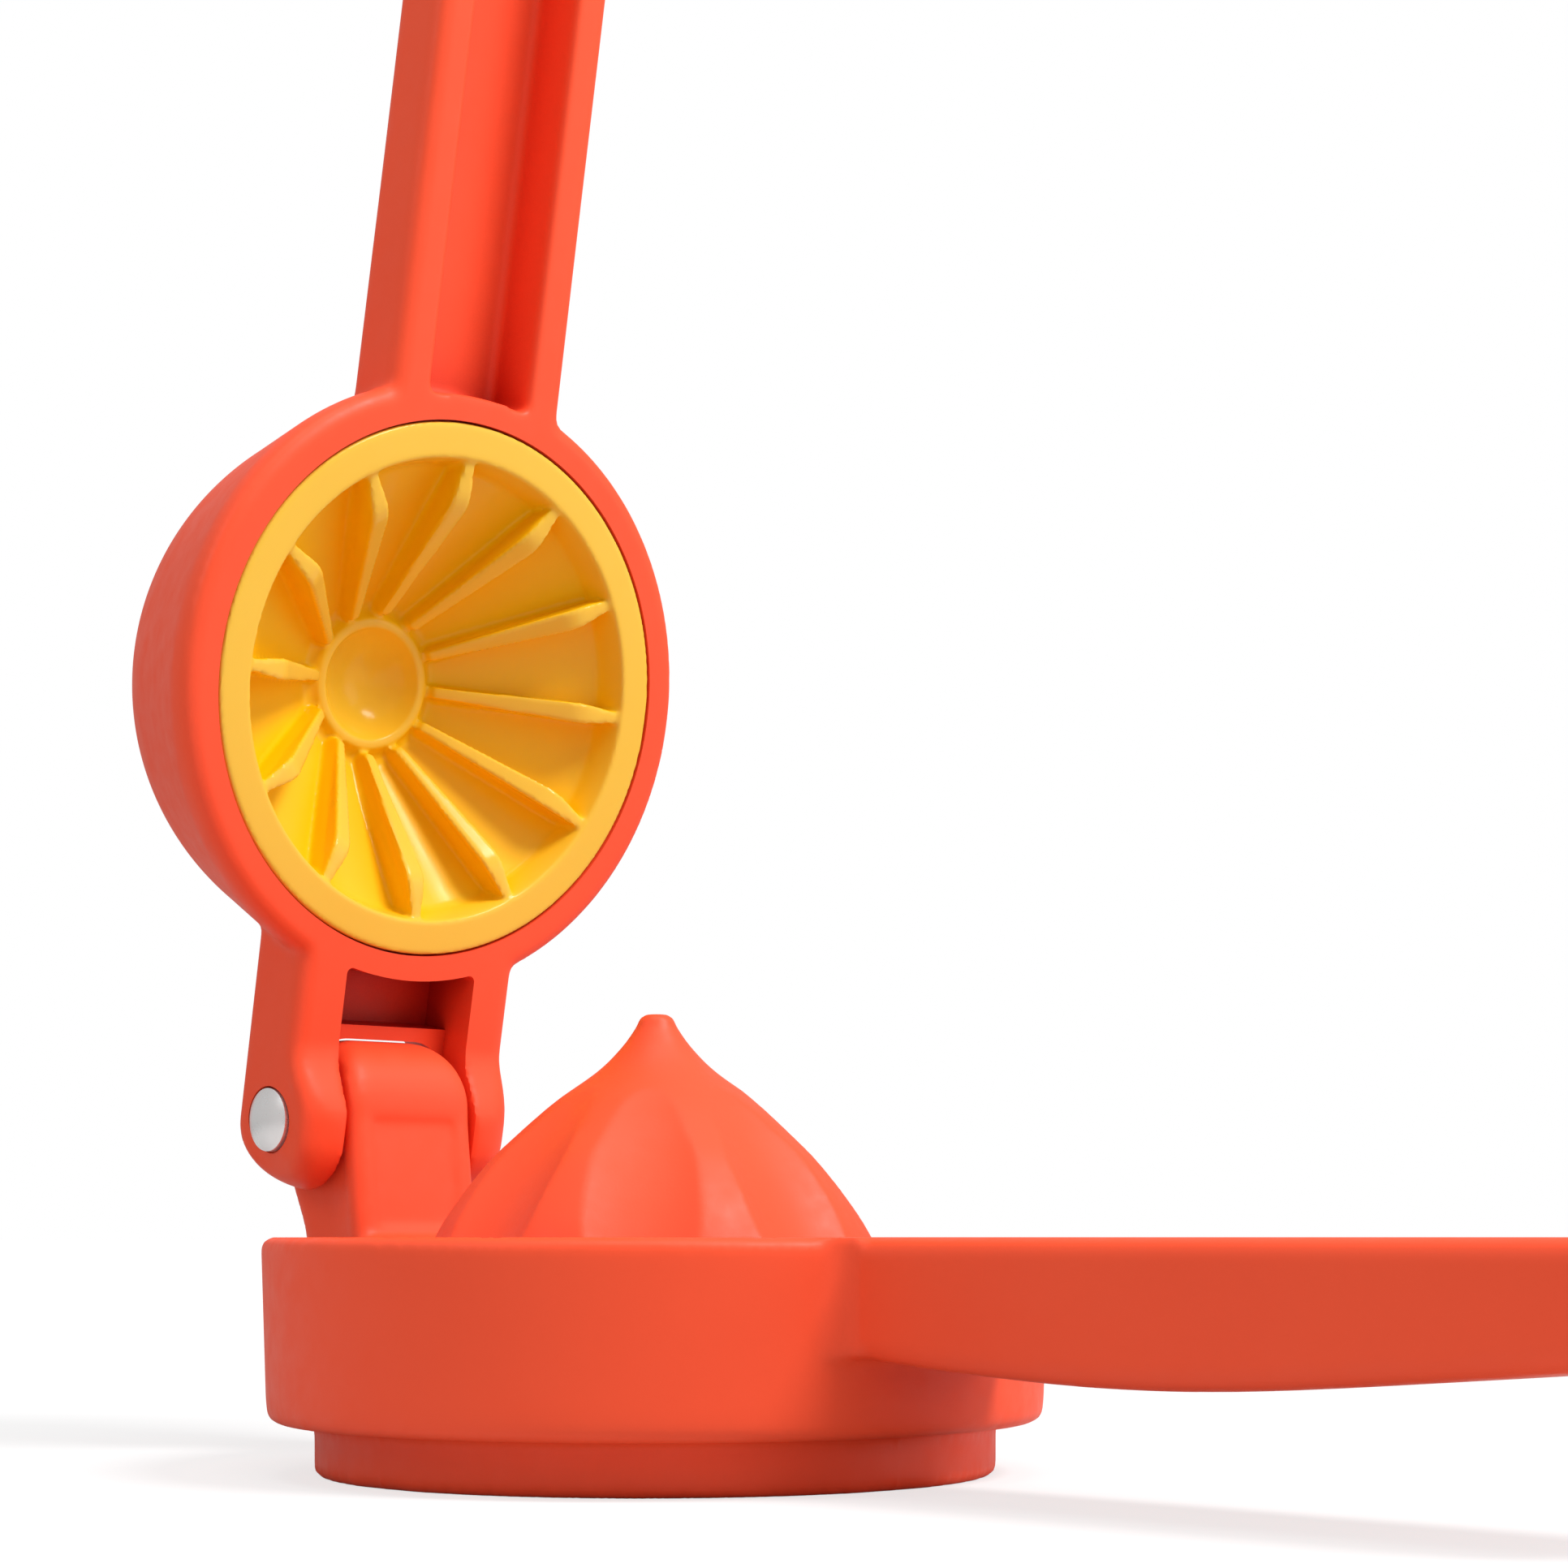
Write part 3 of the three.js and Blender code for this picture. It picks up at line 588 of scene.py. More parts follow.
@dataclass(frozen=True)
class Finish:
    """One finish of the press, dressed with the moulded skin's group.

    Attributes:
        name: Name of the material.
        light: Lighter colour of its cloud, linear.
        deep: Deeper colour of its cloud, linear.
        hollow: Painted shade colour laid deep inside its hollows, linear.
        openness: Shares of open surroundings where the painted shade is full and gone.
        roughness: Lowest and highest roughness.
        grain: Scale of the fine grain, in grains per metre.
        relief: Strength of the grain's bump.
        metallic: Metallic share.
        specular: Specular level.
        subsurface: Share of light that passes under the surface.
        cloud: Scale of the cloud, in clouds per metre.
        bleed: Distances that red, green and blue light pass under the surface, as shares.
        bleed_scale: Distance that a share of one stands for, in metres.
        relief_depth: Height of the grain, in metres.
    """

    name: str
    light: tuple[float, float, float]
    deep: tuple[float, float, float]
    # Painted shade: colour laid into recesses by ambient occlusion.
    hollow: tuple[float, float, float]
    openness: tuple[float, float]
    roughness: tuple[float, float]
    grain: float
    relief: float
    metallic: float = 0.0
    specular: float = 0.5
    subsurface: float = 0.0
    cloud: float = 38.0
    bleed: tuple[float, float, float] = (1.0, 0.45, 0.1)
    bleed_scale: float = 0.002
    relief_depth: float = 0.0001

    def material(self) -> Material:
        """Build the material.

        Returns:
            The material with its nodes.
        """
        skin = bpy.data.materials.new(self.name)
        skin.use_nodes = True
        tree = skin.node_tree
        nodes = add_nodes(tree, {"group": "ShaderNodeGroup", "bump": "ShaderNodeBump"})
        nodes["shader"] = tree.nodes["Principled BSDF"]
        nodes["group"].node_tree = MouldedSkin.tree()
        values = {
            "shader": {
                "Metallic": self.metallic,
                "Specular IOR Level": self.specular,
                "Subsurface Weight": self.subsurface,
                "Subsurface Radius": self.bleed,
                "Subsurface Scale": self.bleed_scale,
            },
            "group": {
                "Light Colour": (*self.light, 1.0),
                "Deep Colour": (*self.deep, 1.0),
                # Painted shade colour for recesses.
                "Painted Shade Colour": (*self.hollow, 1.0),
                "Closed": self.openness[0],
                "Open": self.openness[1],
                "Cloud Scale": self.cloud,
                "Grain Scale": self.grain,
                "Low Roughness": self.roughness[0],
                "High Roughness": self.roughness[1],
            },
            "bump": {"Strength": self.relief, "Distance": self.relief_depth},
        }
        links = (
            ("group", "Colour", "shader", "Base Color"),
            ("group", "Roughness", "shader", "Roughness"),
            ("group", "Height", "bump", "Height"),
            ("bump", "Normal", "shader", "Normal"),
        )
        wire_nodes(tree, nodes, values, links)
        return skin


SHELL = Finish(
    name="satin_red_orange",
    light=(0.92, 0.090, 0.030),
    deep=(0.87, 0.076, 0.024),
    # Painted shade: deep red laid into the window, channel and other recesses.
    hollow=(0.36, 0.0, 0.0),
    openness=(0.2, 0.6),
    roughness=(0.42, 0.54),
    grain=2600.0,
    relief=0.12,
    specular=0.25,
)
INSERT = Finish(
    name="gloss_amber",
    light=(0.82, 0.510, 0.060),
    deep=(0.79, 0.475, 0.050),
    # Painted shade: deeper orange laid into the bowl's recesses.
    hollow=(0.92, 0.520, 0.0),
    openness=(0.45, 0.95),
    roughness=(0.14, 0.22),
    grain=1800.0,
    relief=0.04,
    specular=0.15,
    subsurface=0.05,
)
STEEL = Finish(
    name="satin_steel",
    light=(0.97, 0.96, 0.95),
    deep=(0.88, 0.87, 0.86),
    # Painted shade: darker grey laid into the pin's recesses.
    hollow=(0.60, 0.59, 0.58),
    openness=(0.2, 0.5),
    roughness=(0.24, 0.34),
    grain=5200.0,
    relief=0.15,
    metallic=0.75,
)


@dataclass
class Hinge:
    """Places and sizes that the base and the arm share at the pin."""

    reach: float = 73.4
    height: float = 47.5
    lean: float = math.radians(11.5)
    shank: float = 3.5
    head: float = 5.25
    head_seat: float = 1.6
    head_gap: float = 0.35
    gap: float = 0.3
    knuckle_gap: float = 0.6
    post_width: float = 25.2
    ear_width: float = 8.65
    handle_width: float = 32.0
    handle_reach: float = 185.0

    @property
    def pin(self) -> Vector:
        """The pin's middle in the row frame."""
        return Vector((-self.reach, 0.0, self.height))

    @property
    def slot_half(self) -> float:
        """Half of the width between the ears."""
        return self.post_width / 2 + self.knuckle_gap

    @property
    def clevis_half(self) -> float:
        """Half of the width over both ears."""
        return self.slot_half + self.ear_width

    @property
    def seat_half(self) -> float:
        """Distance from the pin's middle to the floor of a head's seat."""
        return self.clevis_half - self.head_seat

    def upright(self, n: float, y: float, s: float) -> Vector:
        """Place on the arm before it leans: n before its face, y across, s along it."""
        return self.pin + Vector((n, y, s))

    def bore(self, overrun: float = 0.0) -> Object:
        """Shape the bar that cuts the pin's hole.

        Args:
            overrun: How far it sticks out of the ears at both ends.

        Returns:
            The bar.
        """
        reach = ACROSS * (self.clevis_half + overrun)
        return Bench.rod(self.shank + self.gap, self.pin - reach, self.pin + reach)

    def tip(self, piece: Object) -> Object:
        """Lean a piece of the arm forward about the pin.

        Args:
            piece: The piece, modelled upright.

        Returns:
            The same piece, with the lean in its mesh.
        """
        Bench.take(piece)
        place = Matrix.Translation(self.pin * MM)
        piece.matrix_world = place @ Matrix.Rotation(self.lean, 4, "Y") @ place.inverted()
        bpy.ops.object.transform_apply()
        return piece


@dataclass
class Piece:
    """One piece of the press, with its name, its body, its CAD node and its slot."""

    name: ClassVar[str]
    body: ClassVar[Body]
    node: ClassVar[str]
    slot: ClassVar[str]

    def shape(self) -> Object:
        """Model the whole piece in place."""
        raise NotImplementedError

    def build(self, skin: Material) -> Object:
        """Model, name, shade and dress the piece, and set it on its body.

        Args:
            skin: Its material.

        Returns:
            The finished piece.
        """
        piece = Bench.take(self.shape())
        piece.name = self.name
        piece.data.name = self.name
        bpy.ops.object.shade_smooth_by_angle(angle=CREASE)
        piece.data.materials.clear()
        piece.data.materials.append(skin)
        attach(piece, self.body.value)
        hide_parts(self.node)
        return piece


@dataclass
class BaseShell(Piece):
    """Base moulding: ring with its seat and spigot, lower handle and hinge post."""

    name = "base_shell"
    body = Body.BASE
    node = "base_body"
    slot = "shell"

    hinge: Hinge
    steps: int = 180
    softness: tuple[float, int] = (0.8, 5)
    radius: float = 60.0
    height: float = 28.0
    wall: float = 3.2
    draft: float = 0.7
    rim_round: float = 1.7
    foot_round: float = 2.0
    foot_inset: float = 1.0
    ledge_height: float = 16.5
    ledge_width: float = 2.3
    seat_thickness: float = 3.0
    seat_inset: float = 8.0
    spigot_wall: float = 2.4
    spigot_drop: float = 8.0
    spigot_round: float = 0.8
    handle_depths: tuple[float, ...] = (16.7, 17.86, 19.2, 19.0, 16.7, 13.8)
    handle_stations: tuple[float, ...] = (0.0, 0.1, 0.3, 0.5, 0.76, 1.0)
    handle_edge: float = 2.6
    root_fillet: float = 4.0
    end_round: float = 13.0
    channel_wall: float = 5.6
    channel_floor: float = 2.6
    channel_start: float = 7.0
    channel_end: float = 12.0
    channel_round: float = 4.0
    post_front: float = 11.2
    post_foot: float = 13.2
    post_top: float = 13.9
    post_back: float = 9.8
    post_neck: float = 3.4
    post_root: float = 24.0
    post_rounds: tuple[float, float, float, float] = (11.0, 9.0, 7.0, 14.0)
    post_edge: float = 2.4
    crown_turn: tuple[float, float, float] = (1.5, 14.2, 5.0)
    panel_width: float = 18.0
    panel_span: tuple[float, float] = (-18.0, 0.7)
    panel_depth: float = 0.5

    def ring(self) -> Object:
        """Turn the ring with its seat and its spigot.

        Returns:
            The ring.
        """
        spigot = self.radius - self.seat_inset
        bore = spigot - self.spigot_wall
        well = self.radius - self.wall
        throat = well - self.ledge_width
        section = rounded(
            [
                (bore, -self.spigot_drop, self.spigot_round),
                (spigot, -self.spigot_drop, self.spigot_round),
                (spigot, 0.0),
                (self.radius - self.foot_inset, 0.0, self.foot_round),
                (self.radius - self.draft, self.foot_round * 2),
                (self.radius, self.height, self.rim_round),
                (well, self.height, self.rim_round / 2),
                (well, self.ledge_height),
                (throat, self.ledge_height),
                (throat, self.seat_thickness),
                (bore, self.seat_thickness),
            ]
        )
        return Bench.turned(side_view([*section, section[0]]), ORIGIN, UP, self.steps)

    def underside(self) -> Points:
        """Line of the lower handle's underside from the base to its end.

        Returns:
            Points as (x, z).
        """
        length = self.hinge.handle_reach - self.radius
        stations = [
            (self.radius + length * share, self.height - depth)
            for share, depth in zip(self.handle_stations, self.handle_depths)
        ]
        return spline(stations, 6)

    def handle(self) -> Object:
        """Shape the lower handle with its rounded end and the webs at its root.

        Returns:
            The handle.
        """
        half, reach = self.hinge.handle_width / 2, self.hinge.handle_reach
        inside = self.radius - self.wall / 2
        line = self.underside()
        side = [(inside, self.height), (inside, line[0].y), *line, (reach, self.height)]
        bar = Bench.slab(side_view(side, -half), ACROSS * 2 * half, self.handle_edge)
        plan = rounded(
            [(0, half), (0, -half), (reach, -half, self.end_round), (reach, half, self.end_round)]
        )
        bar = Bench.combine(bar, Cut.KEEP, Bench.slab(top_view(plan), UP * TALL))
        one = [Vector((p.y, p.x)) for p in side_fillet(half, self.radius, self.root_fillet)]
        one.append(one[-1] * (1 - self.wall / self.radius))
        outline = [*one, *[(p.x, -p.y) for p in reversed(one)]]
        depth = self.handle_depths[0]
        root = Bench.slab(top_view(outline, self.height - depth), UP * depth)
        return Bench.combine(bar, Cut.JOIN, root)

    def channel(self) -> Object:
        """Shape the cutter that makes the lower handle a channel.

        Returns:
            The cutter.
        """
        reach = self.hinge.handle_reach
        half = self.hinge.handle_width / 2 - self.channel_wall
        near = self.radius + self.channel_start
        turn = math.asin(half / near)
        far = reach - self.channel_end
        ends = [(far, -half, self.channel_round), (far, half, self.channel_round)]
        plan = rounded([*arc((0, 0), near, turn, -turn, 12), *ends])
        cutter = Bench.slab(top_view(plan), UP * TALL)
        floor = [(p.x, p.y + self.channel_floor) for p in self.underside()]
        side = [*floor, (reach, TALL), (self.radius, TALL)]
        trough = Bench.slab(side_view(side, -TALL), ACROSS * 2 * TALL)
        return Bench.combine(cutter, Cut.KEEP, trough)

    def post(self) -> Object:
        """Shape the hinge post: crowned knuckle, narrowing neck and root on the ring.

        Returns:
            The post.
        """
        hinge = self.hinge
        rim = self.height - hinge.height
        wall = hinge.reach - self.radius + self.wall / 2
        low = rim - self.post_root
        crown, shoulder, back, neck = self.post_rounds
        outline = rounded(
            [
                (self.post_front, self.post_top, crown),
                (-self.post_back, self.post_top, shoulder),
                (-self.post_back, rim / 3, back),
                (-self.post_neck, rim, neck),
                (-self.post_neck, rim - 9.0, neck),
                (wall - 6.0, low),
                (wall, low),
                (wall, rim),
                (self.post_foot, rim),
                (self.post_front, 0.0),
            ]
        )
        half = hinge.post_width / 2
        places = [hinge.upright(p.x, -half, p.y) for p in outline]
        block = Bench.slab(places, ACROSS * 2 * half, self.post_edge)
        start, end, inward = self.crown_turn
        return Bench.round_ends(block, UP, hinge.height + start, hinge.height + end, inward)

    def panel(self) -> Object:
        """Shape the cutter of the shallow panel in the post's front.

        Returns:
            The cutter.
        """
        hinge = self.hinge
        half = self.panel_width / 2
        slope = (self.post_foot - self.post_front) / (hinge.height - self.height)
        floor = [(self.post_front - slope * z - self.panel_depth, z) for z in self.panel_span]
        side = [*floor, *[(n + OVERRUN, z) for n, z in reversed(floor)]]
        return Bench.slab([hinge.upright(n, -half, z) for n, z in side], ACROSS * 2 * half)

    def shape(self) -> Object:
        """Model the whole moulding.

        Returns:
            The moulding.
        """
        piece = Bench.combine(self.ring(), Cut.JOIN, self.handle(), self.post())
        piece = Bench.combine(piece, Cut.CARVE, self.channel(), self.panel())
        piece = Bench.soften(piece, *self.softness)
        well, top = self.radius - self.wall, self.height + OVERRUN
        hollow = [(0, self.ledge_height), (well, self.ledge_height), (well, top), (0, top)]
        cutter = Bench.turned(side_view(hollow), ORIGIN, UP, self.steps)
        return Bench.combine(piece, Cut.CARVE, cutter, self.hinge.bore())


@dataclass
class Reamer(Piece):
    """Fluted reamer cone and the slotted strainer plate moulded with it."""

    name = "reamer"
    body = Body.BASE
    node = "reamer_strainer"
    slot = "shell"

    steps: int = 160
    softness: tuple[float, int] = (0.56, 3)
    seat: float = 16.8
    top: float = 19.0
    rise: float = 43.2
    foot: float = 37.4
    wall: float = 5.0
    tip_radius: float = 2.4
    tip_round: float = 1.6
    radius_shares: tuple[float, ...] = (
        1.0, 0.965, 0.874, 0.717, 0.583, 0.425, 0.243, 0.142, 0.083,
    )
    rise_shares: tuple[float, ...] = (0.0, 0.1, 0.27, 0.455, 0.567, 0.683, 0.796, 0.884, 0.956)
    flutes: int = 8
    flute_radius: float = 24.0
    flute_path: tuple[tuple[float, float], ...] = ((0.2, 2.4), (0.45, 2.3), (0.72, 0.0))
    flute_overrun: float = 0.35
    plate_radius: float = 56.5
    rim_height: float = 4.0
    rim_wall: float = 1.8
    slots: int = 24
    slot_size: tuple[float, float] = (9.5, 2.4)
    slot_inset: float = 3.4
    slot_round: float = 1.1
    slot_reach: float = 9.0

    def outline(self) -> Points:
        """Ogee line of the cone from its foot up.

        Returns:
            Points as (radius, height).
        """
        stations = [
            (self.foot * share, self.top + self.rise * rise)
            for share, rise in zip(self.radius_shares, self.rise_shares)
        ]
        return spline(stations, 8)

    def cone(self) -> Object:
        """Turn the cone with its rounded tip and its hollow underside.

        Returns:
            The cone.
        """
        outer = self.outline()
        tip = self.top + self.rise
        crown = rounded([outer[-1], (self.tip_radius, tip, self.tip_round), (0, tip)], False)
        inner = [
            (p.x - self.wall, p.y - self.wall * 0.5) for p in outer if p.x > self.wall * 2
        ]
        under = [(inner[0][0], self.seat), *inner[1:], (0.0, inner[-1][1])]
        profile = [*reversed(under), (self.foot, self.seat), *outer, *crown[1:]]
        return Bench.turned(side_view(profile), ORIGIN, UP, self.steps)

    def flute_cutter(self) -> Object:
        """Shape the bent bar that sinks one leaf-shaped flute and runs out below the tip.

        Returns:
            The cutter.
        """
        line = self.outline()
        places = []
        for share, depth in self.flute_path:
            height = self.top + self.rise * share
            i = min(range(len(line)), key=lambda k: abs(line[k].y - height))
            along = (line[i + 1] - line[i - 1]).normalized()
            places.append(line[i] - Vector((along.y, -along.x)) * depth)
        centre, radius = circle_through(*places)
        angles = [math.atan2(p.y - centre.y, p.x - centre.x) for p in places]
        start, sweep = angles[0] - self.flute_overrun, angles[2] - angles[0]
        ray = Vector((math.cos(start), math.sin(start)))
        middle = centre + (radius + self.flute_radius) * ray
        outline = []
        for spot in arc((0, 0), self.flute_radius, 0.0, math.tau, 96)[:-1]:
            out = middle + spot.x * ray
            outline.append(Vector((out.x, spot.y, out.y)))
        pivot = Vector((centre.x, 0.0, centre.y))
        return Bench.turned(outline, pivot, ACROSS, QUARTER * 4, sweep + self.flute_overrun)

    def plate(self) -> Object:
        """Turn the strainer plate with its stiffening rim.

        Returns:
            The plate.
        """
        inner = self.foot - self.wall / 2
        lip = self.plate_radius - self.rim_wall
        section = [
            (inner, self.seat),
            (self.plate_radius, self.seat),
            (self.plate_radius, self.top + self.rim_height),
            (lip, self.top + self.rim_height),
            (lip, self.top),
            (inner, self.top),
            (inner, self.seat),
        ]
        return Bench.turned(side_view(section), ORIGIN, UP, self.steps)

    def slot_cutters(self) -> Object:
        """Shape the ring of bars that cut the strainer's slots.

        Returns:
            The cutters as one object.
        """
        length, width = self.slot_size
        near, half = self.foot + self.slot_inset, width / 2
        far = near + length
        box = ((near, -half), (far, -half), (far, half), (near, half))
        outline = rounded([(*corner, self.slot_round) for corner in box])
        bar = Bench.slab(top_view(outline, self.seat - OVERRUN), UP * self.slot_reach)
        return Bench.ring_of(bar, self.slots, ORIGIN, UP)

    def shape(self) -> Object:
        """Model the whole moulding.

        Returns:
            The moulding.
        """
        piece = self.cone()
        for i in range(self.flutes):
            bar = self.flute_cutter()
            bar.matrix_world = Matrix.Rotation(math.tau * i / self.flutes, 4, "Z")
            piece = Bench.combine(piece, Cut.CARVE, bar)
        piece = Bench.combine(piece, Cut.JOIN, self.plate())
        piece = Bench.soften(piece, *self.softness)
        return Bench.combine(piece, Cut.CARVE, self.slot_cutters())


@dataclass
class CupPiece(Piece):
    """What the arm and its insert share: the cup's place and the sizes of its ring."""

    body = Body.ARM

    hinge: Hinge
    face: float = 5.5
    ring_radius: float = 43.7
    ring_thickness: float = 3.0

    @property
    def centre(self) -> Vector:
        """Middle of the cup on the pin's plane, before the arm leans."""
        return self.hinge.upright(0.0, 0.0, self.hinge.reach)

    def spun(self, profile: Outline, steps: int) -> Object:
        """Turn a profile about the cup's axis.

        Args:
            profile: Points as (radius, place before the pin's plane).
            steps: Number of steps round the axis.

        Returns:
            The solid.
        """
        centre = self.centre
        places = [centre + Vector((p[1], 0.0, p[0])) for p in profile]
        return Bench.turned(places, centre, FORWARD, steps)


@dataclass
class PressArm(CupPiece):
    """Arm moulding: cup housing, clevis ears, window with its web, channelled handle."""

    name = "arm_shell"
    node = "press_arm"
    slot = "shell"

    steps: int = 168
    seat_steps: int = 200
    softness: tuple[float, int] = (0.7, 7)
    rim_wall: float = 6.1
    rim_round: float = 2.2
    cup_depth: float = 52.5
    skirt_depth: float = 20.0
    skirt_slope: float = 0.27
    dome_inset: float = 3.0
    dome_start: float = 1.8
    dome_power: float = 2.34
    dome_drop: float = 0.03
    shell: float = 3.0
    ledge: float = 2.6
    seat_gap: float = 0.3
    plate_depth: float = 12.9
    plate_sink: float = 1.6
    rim_layer: float = 5.0
    root_widen: float = 1.1
    plate_edge: float = 2.4
    handle_fillet: float = 3.4
    ear_fillet: float = 3.8
    end_round: float = 13.0
    channel_wall: float = 6.1
    channel_depth: float = 10.8
    channel_rise: float = 48.2
    channel_end: float = 12.0
    channel_round: float = 3.2
    ear_back: float = 9.7
    ear_round: float = 2.4
    ear_round_steps: int = 7
    lobe: tuple[float, float, float] = (0.55, -1.35, 10.25)
    front_turn: tuple[float, float] = (5.4, 4.0)
    lobe_turn: tuple[float, float] = (1.5, 7.6)
    blend: tuple[float, float] = (1.5, 14.0)
    blend_steps: int = 12
    web_low: float = 14.1
    web_thickness: float = 2.4
    web_setback: float = 6.5
    slot_round: float = 6.0
    slot_reach: float = 20.0
    window_floor: float = 2.7
    window_radius: float = 48.2
    window_round: float = 1.1

    @property
    def rim(self) -> float:
        """Outer radius of the cup's rim."""
        return self.ring_radius + self.rim_wall

    def skirt(self, depth: float) -> float:
        """Outer radius of the cup at a depth behind its face."""
        return self.rim - (depth - self.rim_round) * self.skirt_slope

    def cup(self, profile: Outline) -> Object:
        """Turn a profile about the cup's axis and let its back drop towards the hinge.

        Args:
            profile: Points as (radius, place before the pin's plane).

        Returns:
            The solid.
        """
        piece = self.spun(profile, self.steps)
        front = (self.centre.x + self.face) * MM
        for vertex in piece.data.vertices:
            vertex.co.z += self.dome_drop * (vertex.co.x - front)
        return piece

    def dome(self, radius: float, wall: float) -> Points:
        """Line of the dome from its full radius to its tip.

        Args:
            radius: Radius where it starts.
            wall: How far inside the cup's outside its tip lies.

        Returns:
            Points as (radius, place before the pin's plane).
        """
        depth = self.cup_depth - self.dome_start - wall
        return quarter_dome(radius, self.face - self.dome_start, depth, self.dome_power)

    def housing(self) -> Object:
        """Turn the outside of the cup: rounded rim, conical skirt and full dome.

        Returns:
            The housing, still solid.
        """
        bottom = self.face - self.skirt_depth
        profile = rounded(
            [
                (0, self.face),
                (self.rim, self.face, self.rim_round),
                (self.rim, self.face - 2 * self.rim_round, self.rim_round),
                (self.skirt(self.skirt_depth), bottom),
            ],
            closed=False,
        )
        dome = self.dome(self.rim - self.dome_inset, 0.0)
        return self.cup([*profile, *[p for p in dome if p.y < bottom]])

    def hollow(self) -> Object:
        """Turn the cutter that hollows the cup behind the insert.

        Returns:
            The cutter.
        """
        inner = self.ring_radius + self.seat_gap - self.ledge
        return self.cup([(0, self.face), (inner, self.face), *self.dome(inner, self.shell)])

    def pocket(self) -> Object:
        """Turn the cutter of the seat that the insert's ring lies in.

        Returns:
            The cutter.
        """
        edge = self.ring_radius + self.seat_gap
        front, back = self.face + OVERRUN, self.face - self.ring_thickness - self.seat_gap
        return self.spun([(0, front), (edge, front), (edge, back), (0, back)], self.seat_steps)

    def plate_outline(self, radius: float) -> Points:
        """Front view of the handle and the ears' roots.

        Args:
            radius: Ring that the corners at their roots run into.

        Returns:
            Points as (y, s).
        """
        hinge = self.hinge
        end = hinge.handle_width / 2
        top = hinge.reach + hinge.handle_reach
        buried = self.skirt(self.plate_depth) - self.plate_sink
        at_handle = side_fillet(end + self.root_widen, radius, self.handle_fillet)
        at_ears = side_fillet(hinge.clevis_half, radius, self.ear_fillet)
        first = math.atan2(at_handle[-1].y, at_handle[-1].x)
        last = -math.atan2(at_ears[-1].y, at_ears[-1].x)
        half: list[Corner] = [(end, top, self.end_round)]
        half += [(p.x, hinge.reach + p.y) for p in at_handle]
        half += [tuple(p) for p in arc((0, hinge.reach), buried, first, last, 24)]
        half += [(p.x, hinge.reach - p.y) for p in reversed(at_ears)]
        half.append((hinge.clevis_half, self.web_low))
        return rounded([*half, *[(-c[0], *c[1:]) for c in reversed(half)]])

    def slab_back(self, outline: Outline, front: float, depth: float, edge: float = 0) -> Object:
        """Push a front view back from a plane before the pin.

        Args:
            outline: Points as (y, s).
            front: Place of the plane.
            depth: How far the outline is pushed back.
            edge: Radius of the rounded edges.

        Returns:
            The solid.
        """
        places = [self.hinge.upright(front, p[0], p[1]) for p in outline]
        return Bench.slab(places, FORWARD * -depth, edge)

    def layer(self, depth: float) -> Object:
        """Shape one layer of the handle and ear roots, from the face to a depth."""
        outline = self.plate_outline(self.skirt(depth))
        return self.slab_back(outline, self.face, depth, self.plate_edge)

    def clevis(self) -> Object:
        """Shape the block of both ears from its side view.

        Returns:
            The block.
        """
        lead, drop, radius = self.lobe
        bulge = lead + radius
        top = self.hinge.reach - self.ring_radius + self.rim_wall
        low, high = self.blend
        shares = [k / self.blend_steps for k in range(self.blend_steps + 1)]
        outline = [
            (-self.ear_back, top),
            (-self.ear_back, 0.0),
            *arc((lead, drop), radius, -math.pi, 0.0, 40),
            *[(bulge + (self.face - bulge) * ease(t), low + (high - low) * t) for t in shares],
            (self.face, top),
        ]
        half = self.hinge.clevis_half
        places = [self.hinge.upright(p[0], -half, p[1]) for p in outline]
        block = Bench.slab(places, ACROSS * 2 * half, self.ear_round, self.ear_round_steps)
        pin = self.hinge.pin
        start, inward = self.front_turn
        block = Bench.round_ends(block, FORWARD, pin.x + start, pin.x + bulge, inward)
        start, inward = self.lobe_turn
        return Bench.round_ends(block, -UP, start - pin.z, radius - drop - pin.z, inward)

    def brow(self, radius: float, half: float, way: float, steps: int) -> list[Corner]:
        """Arc about the cup's middle that is as wide as an opening.

        Args:
            radius: Radius of the arc.
            half: Half of the opening's width.
            way: Angle of the opening's middle in radians.
            steps: Number of chords.

        Returns:
            Points as (y, s), clockwise.
        """
        turn = math.asin(half / radius)
        return [tuple(p) for p in arc((0, self.hinge.reach), radius, way + turn, way - turn, steps)]

    def window(self) -> Object:
        """Shape the cutter of the window under the cup and the recess over the knuckle.

        Returns:
            The cutter.
        """
        half = self.hinge.slot_half
        crown = self.brow(self.window_radius, half, -math.pi / 2, 14)
        for end in (0, -1):
            crown[end] = (*crown[end], self.window_round)
        high = self.web_low + self.web_thickness
        front = self.face + OVERRUN
        depth = front + self.ear_back - self.window_floor
        pocket = self.slab_back(rounded([(-half, high), (half, high), *crown]), front, depth)
        lap = high + 0.3
        recess = [(-half, 0), (half, 0), (half, lap), (-half, lap)]
        step = self.slab_back(recess, front, self.web_setback + OVERRUN)
        return Bench.combine(pocket, Cut.JOIN, step)

    def knuckle_slot(self) -> Object:
        """Shape the cutter of the slot that the knuckle turns in.

        Returns:
            The cutter.
        """
        half, reach, top = self.hinge.slot_half, self.slot_reach, self.web_low
        corners = [(-half, -reach), (half, -reach), (half, top, self.slot_round)]
        outline = rounded([*corners, (-half, top, self.slot_round)])
        return self.slab_back(outline, reach, 2 * reach)

    def channel(self) -> Object:
        """Shape the cutter that makes the upper handle a channel.

        Returns:
            The cutter.
        """
        half = self.hinge.handle_width / 2 - self.channel_wall
        curve = self.brow(self.channel_rise, half, math.pi / 2, 12)
        end = self.hinge.reach + self.hinge.handle_reach - self.channel_end
        ends = [(half, end, self.channel_round), (-half, end, self.channel_round)]
        outline = rounded([*curve, *ends])
        return self.slab_back(outline, self.face + OVERRUN, self.channel_depth + OVERRUN)

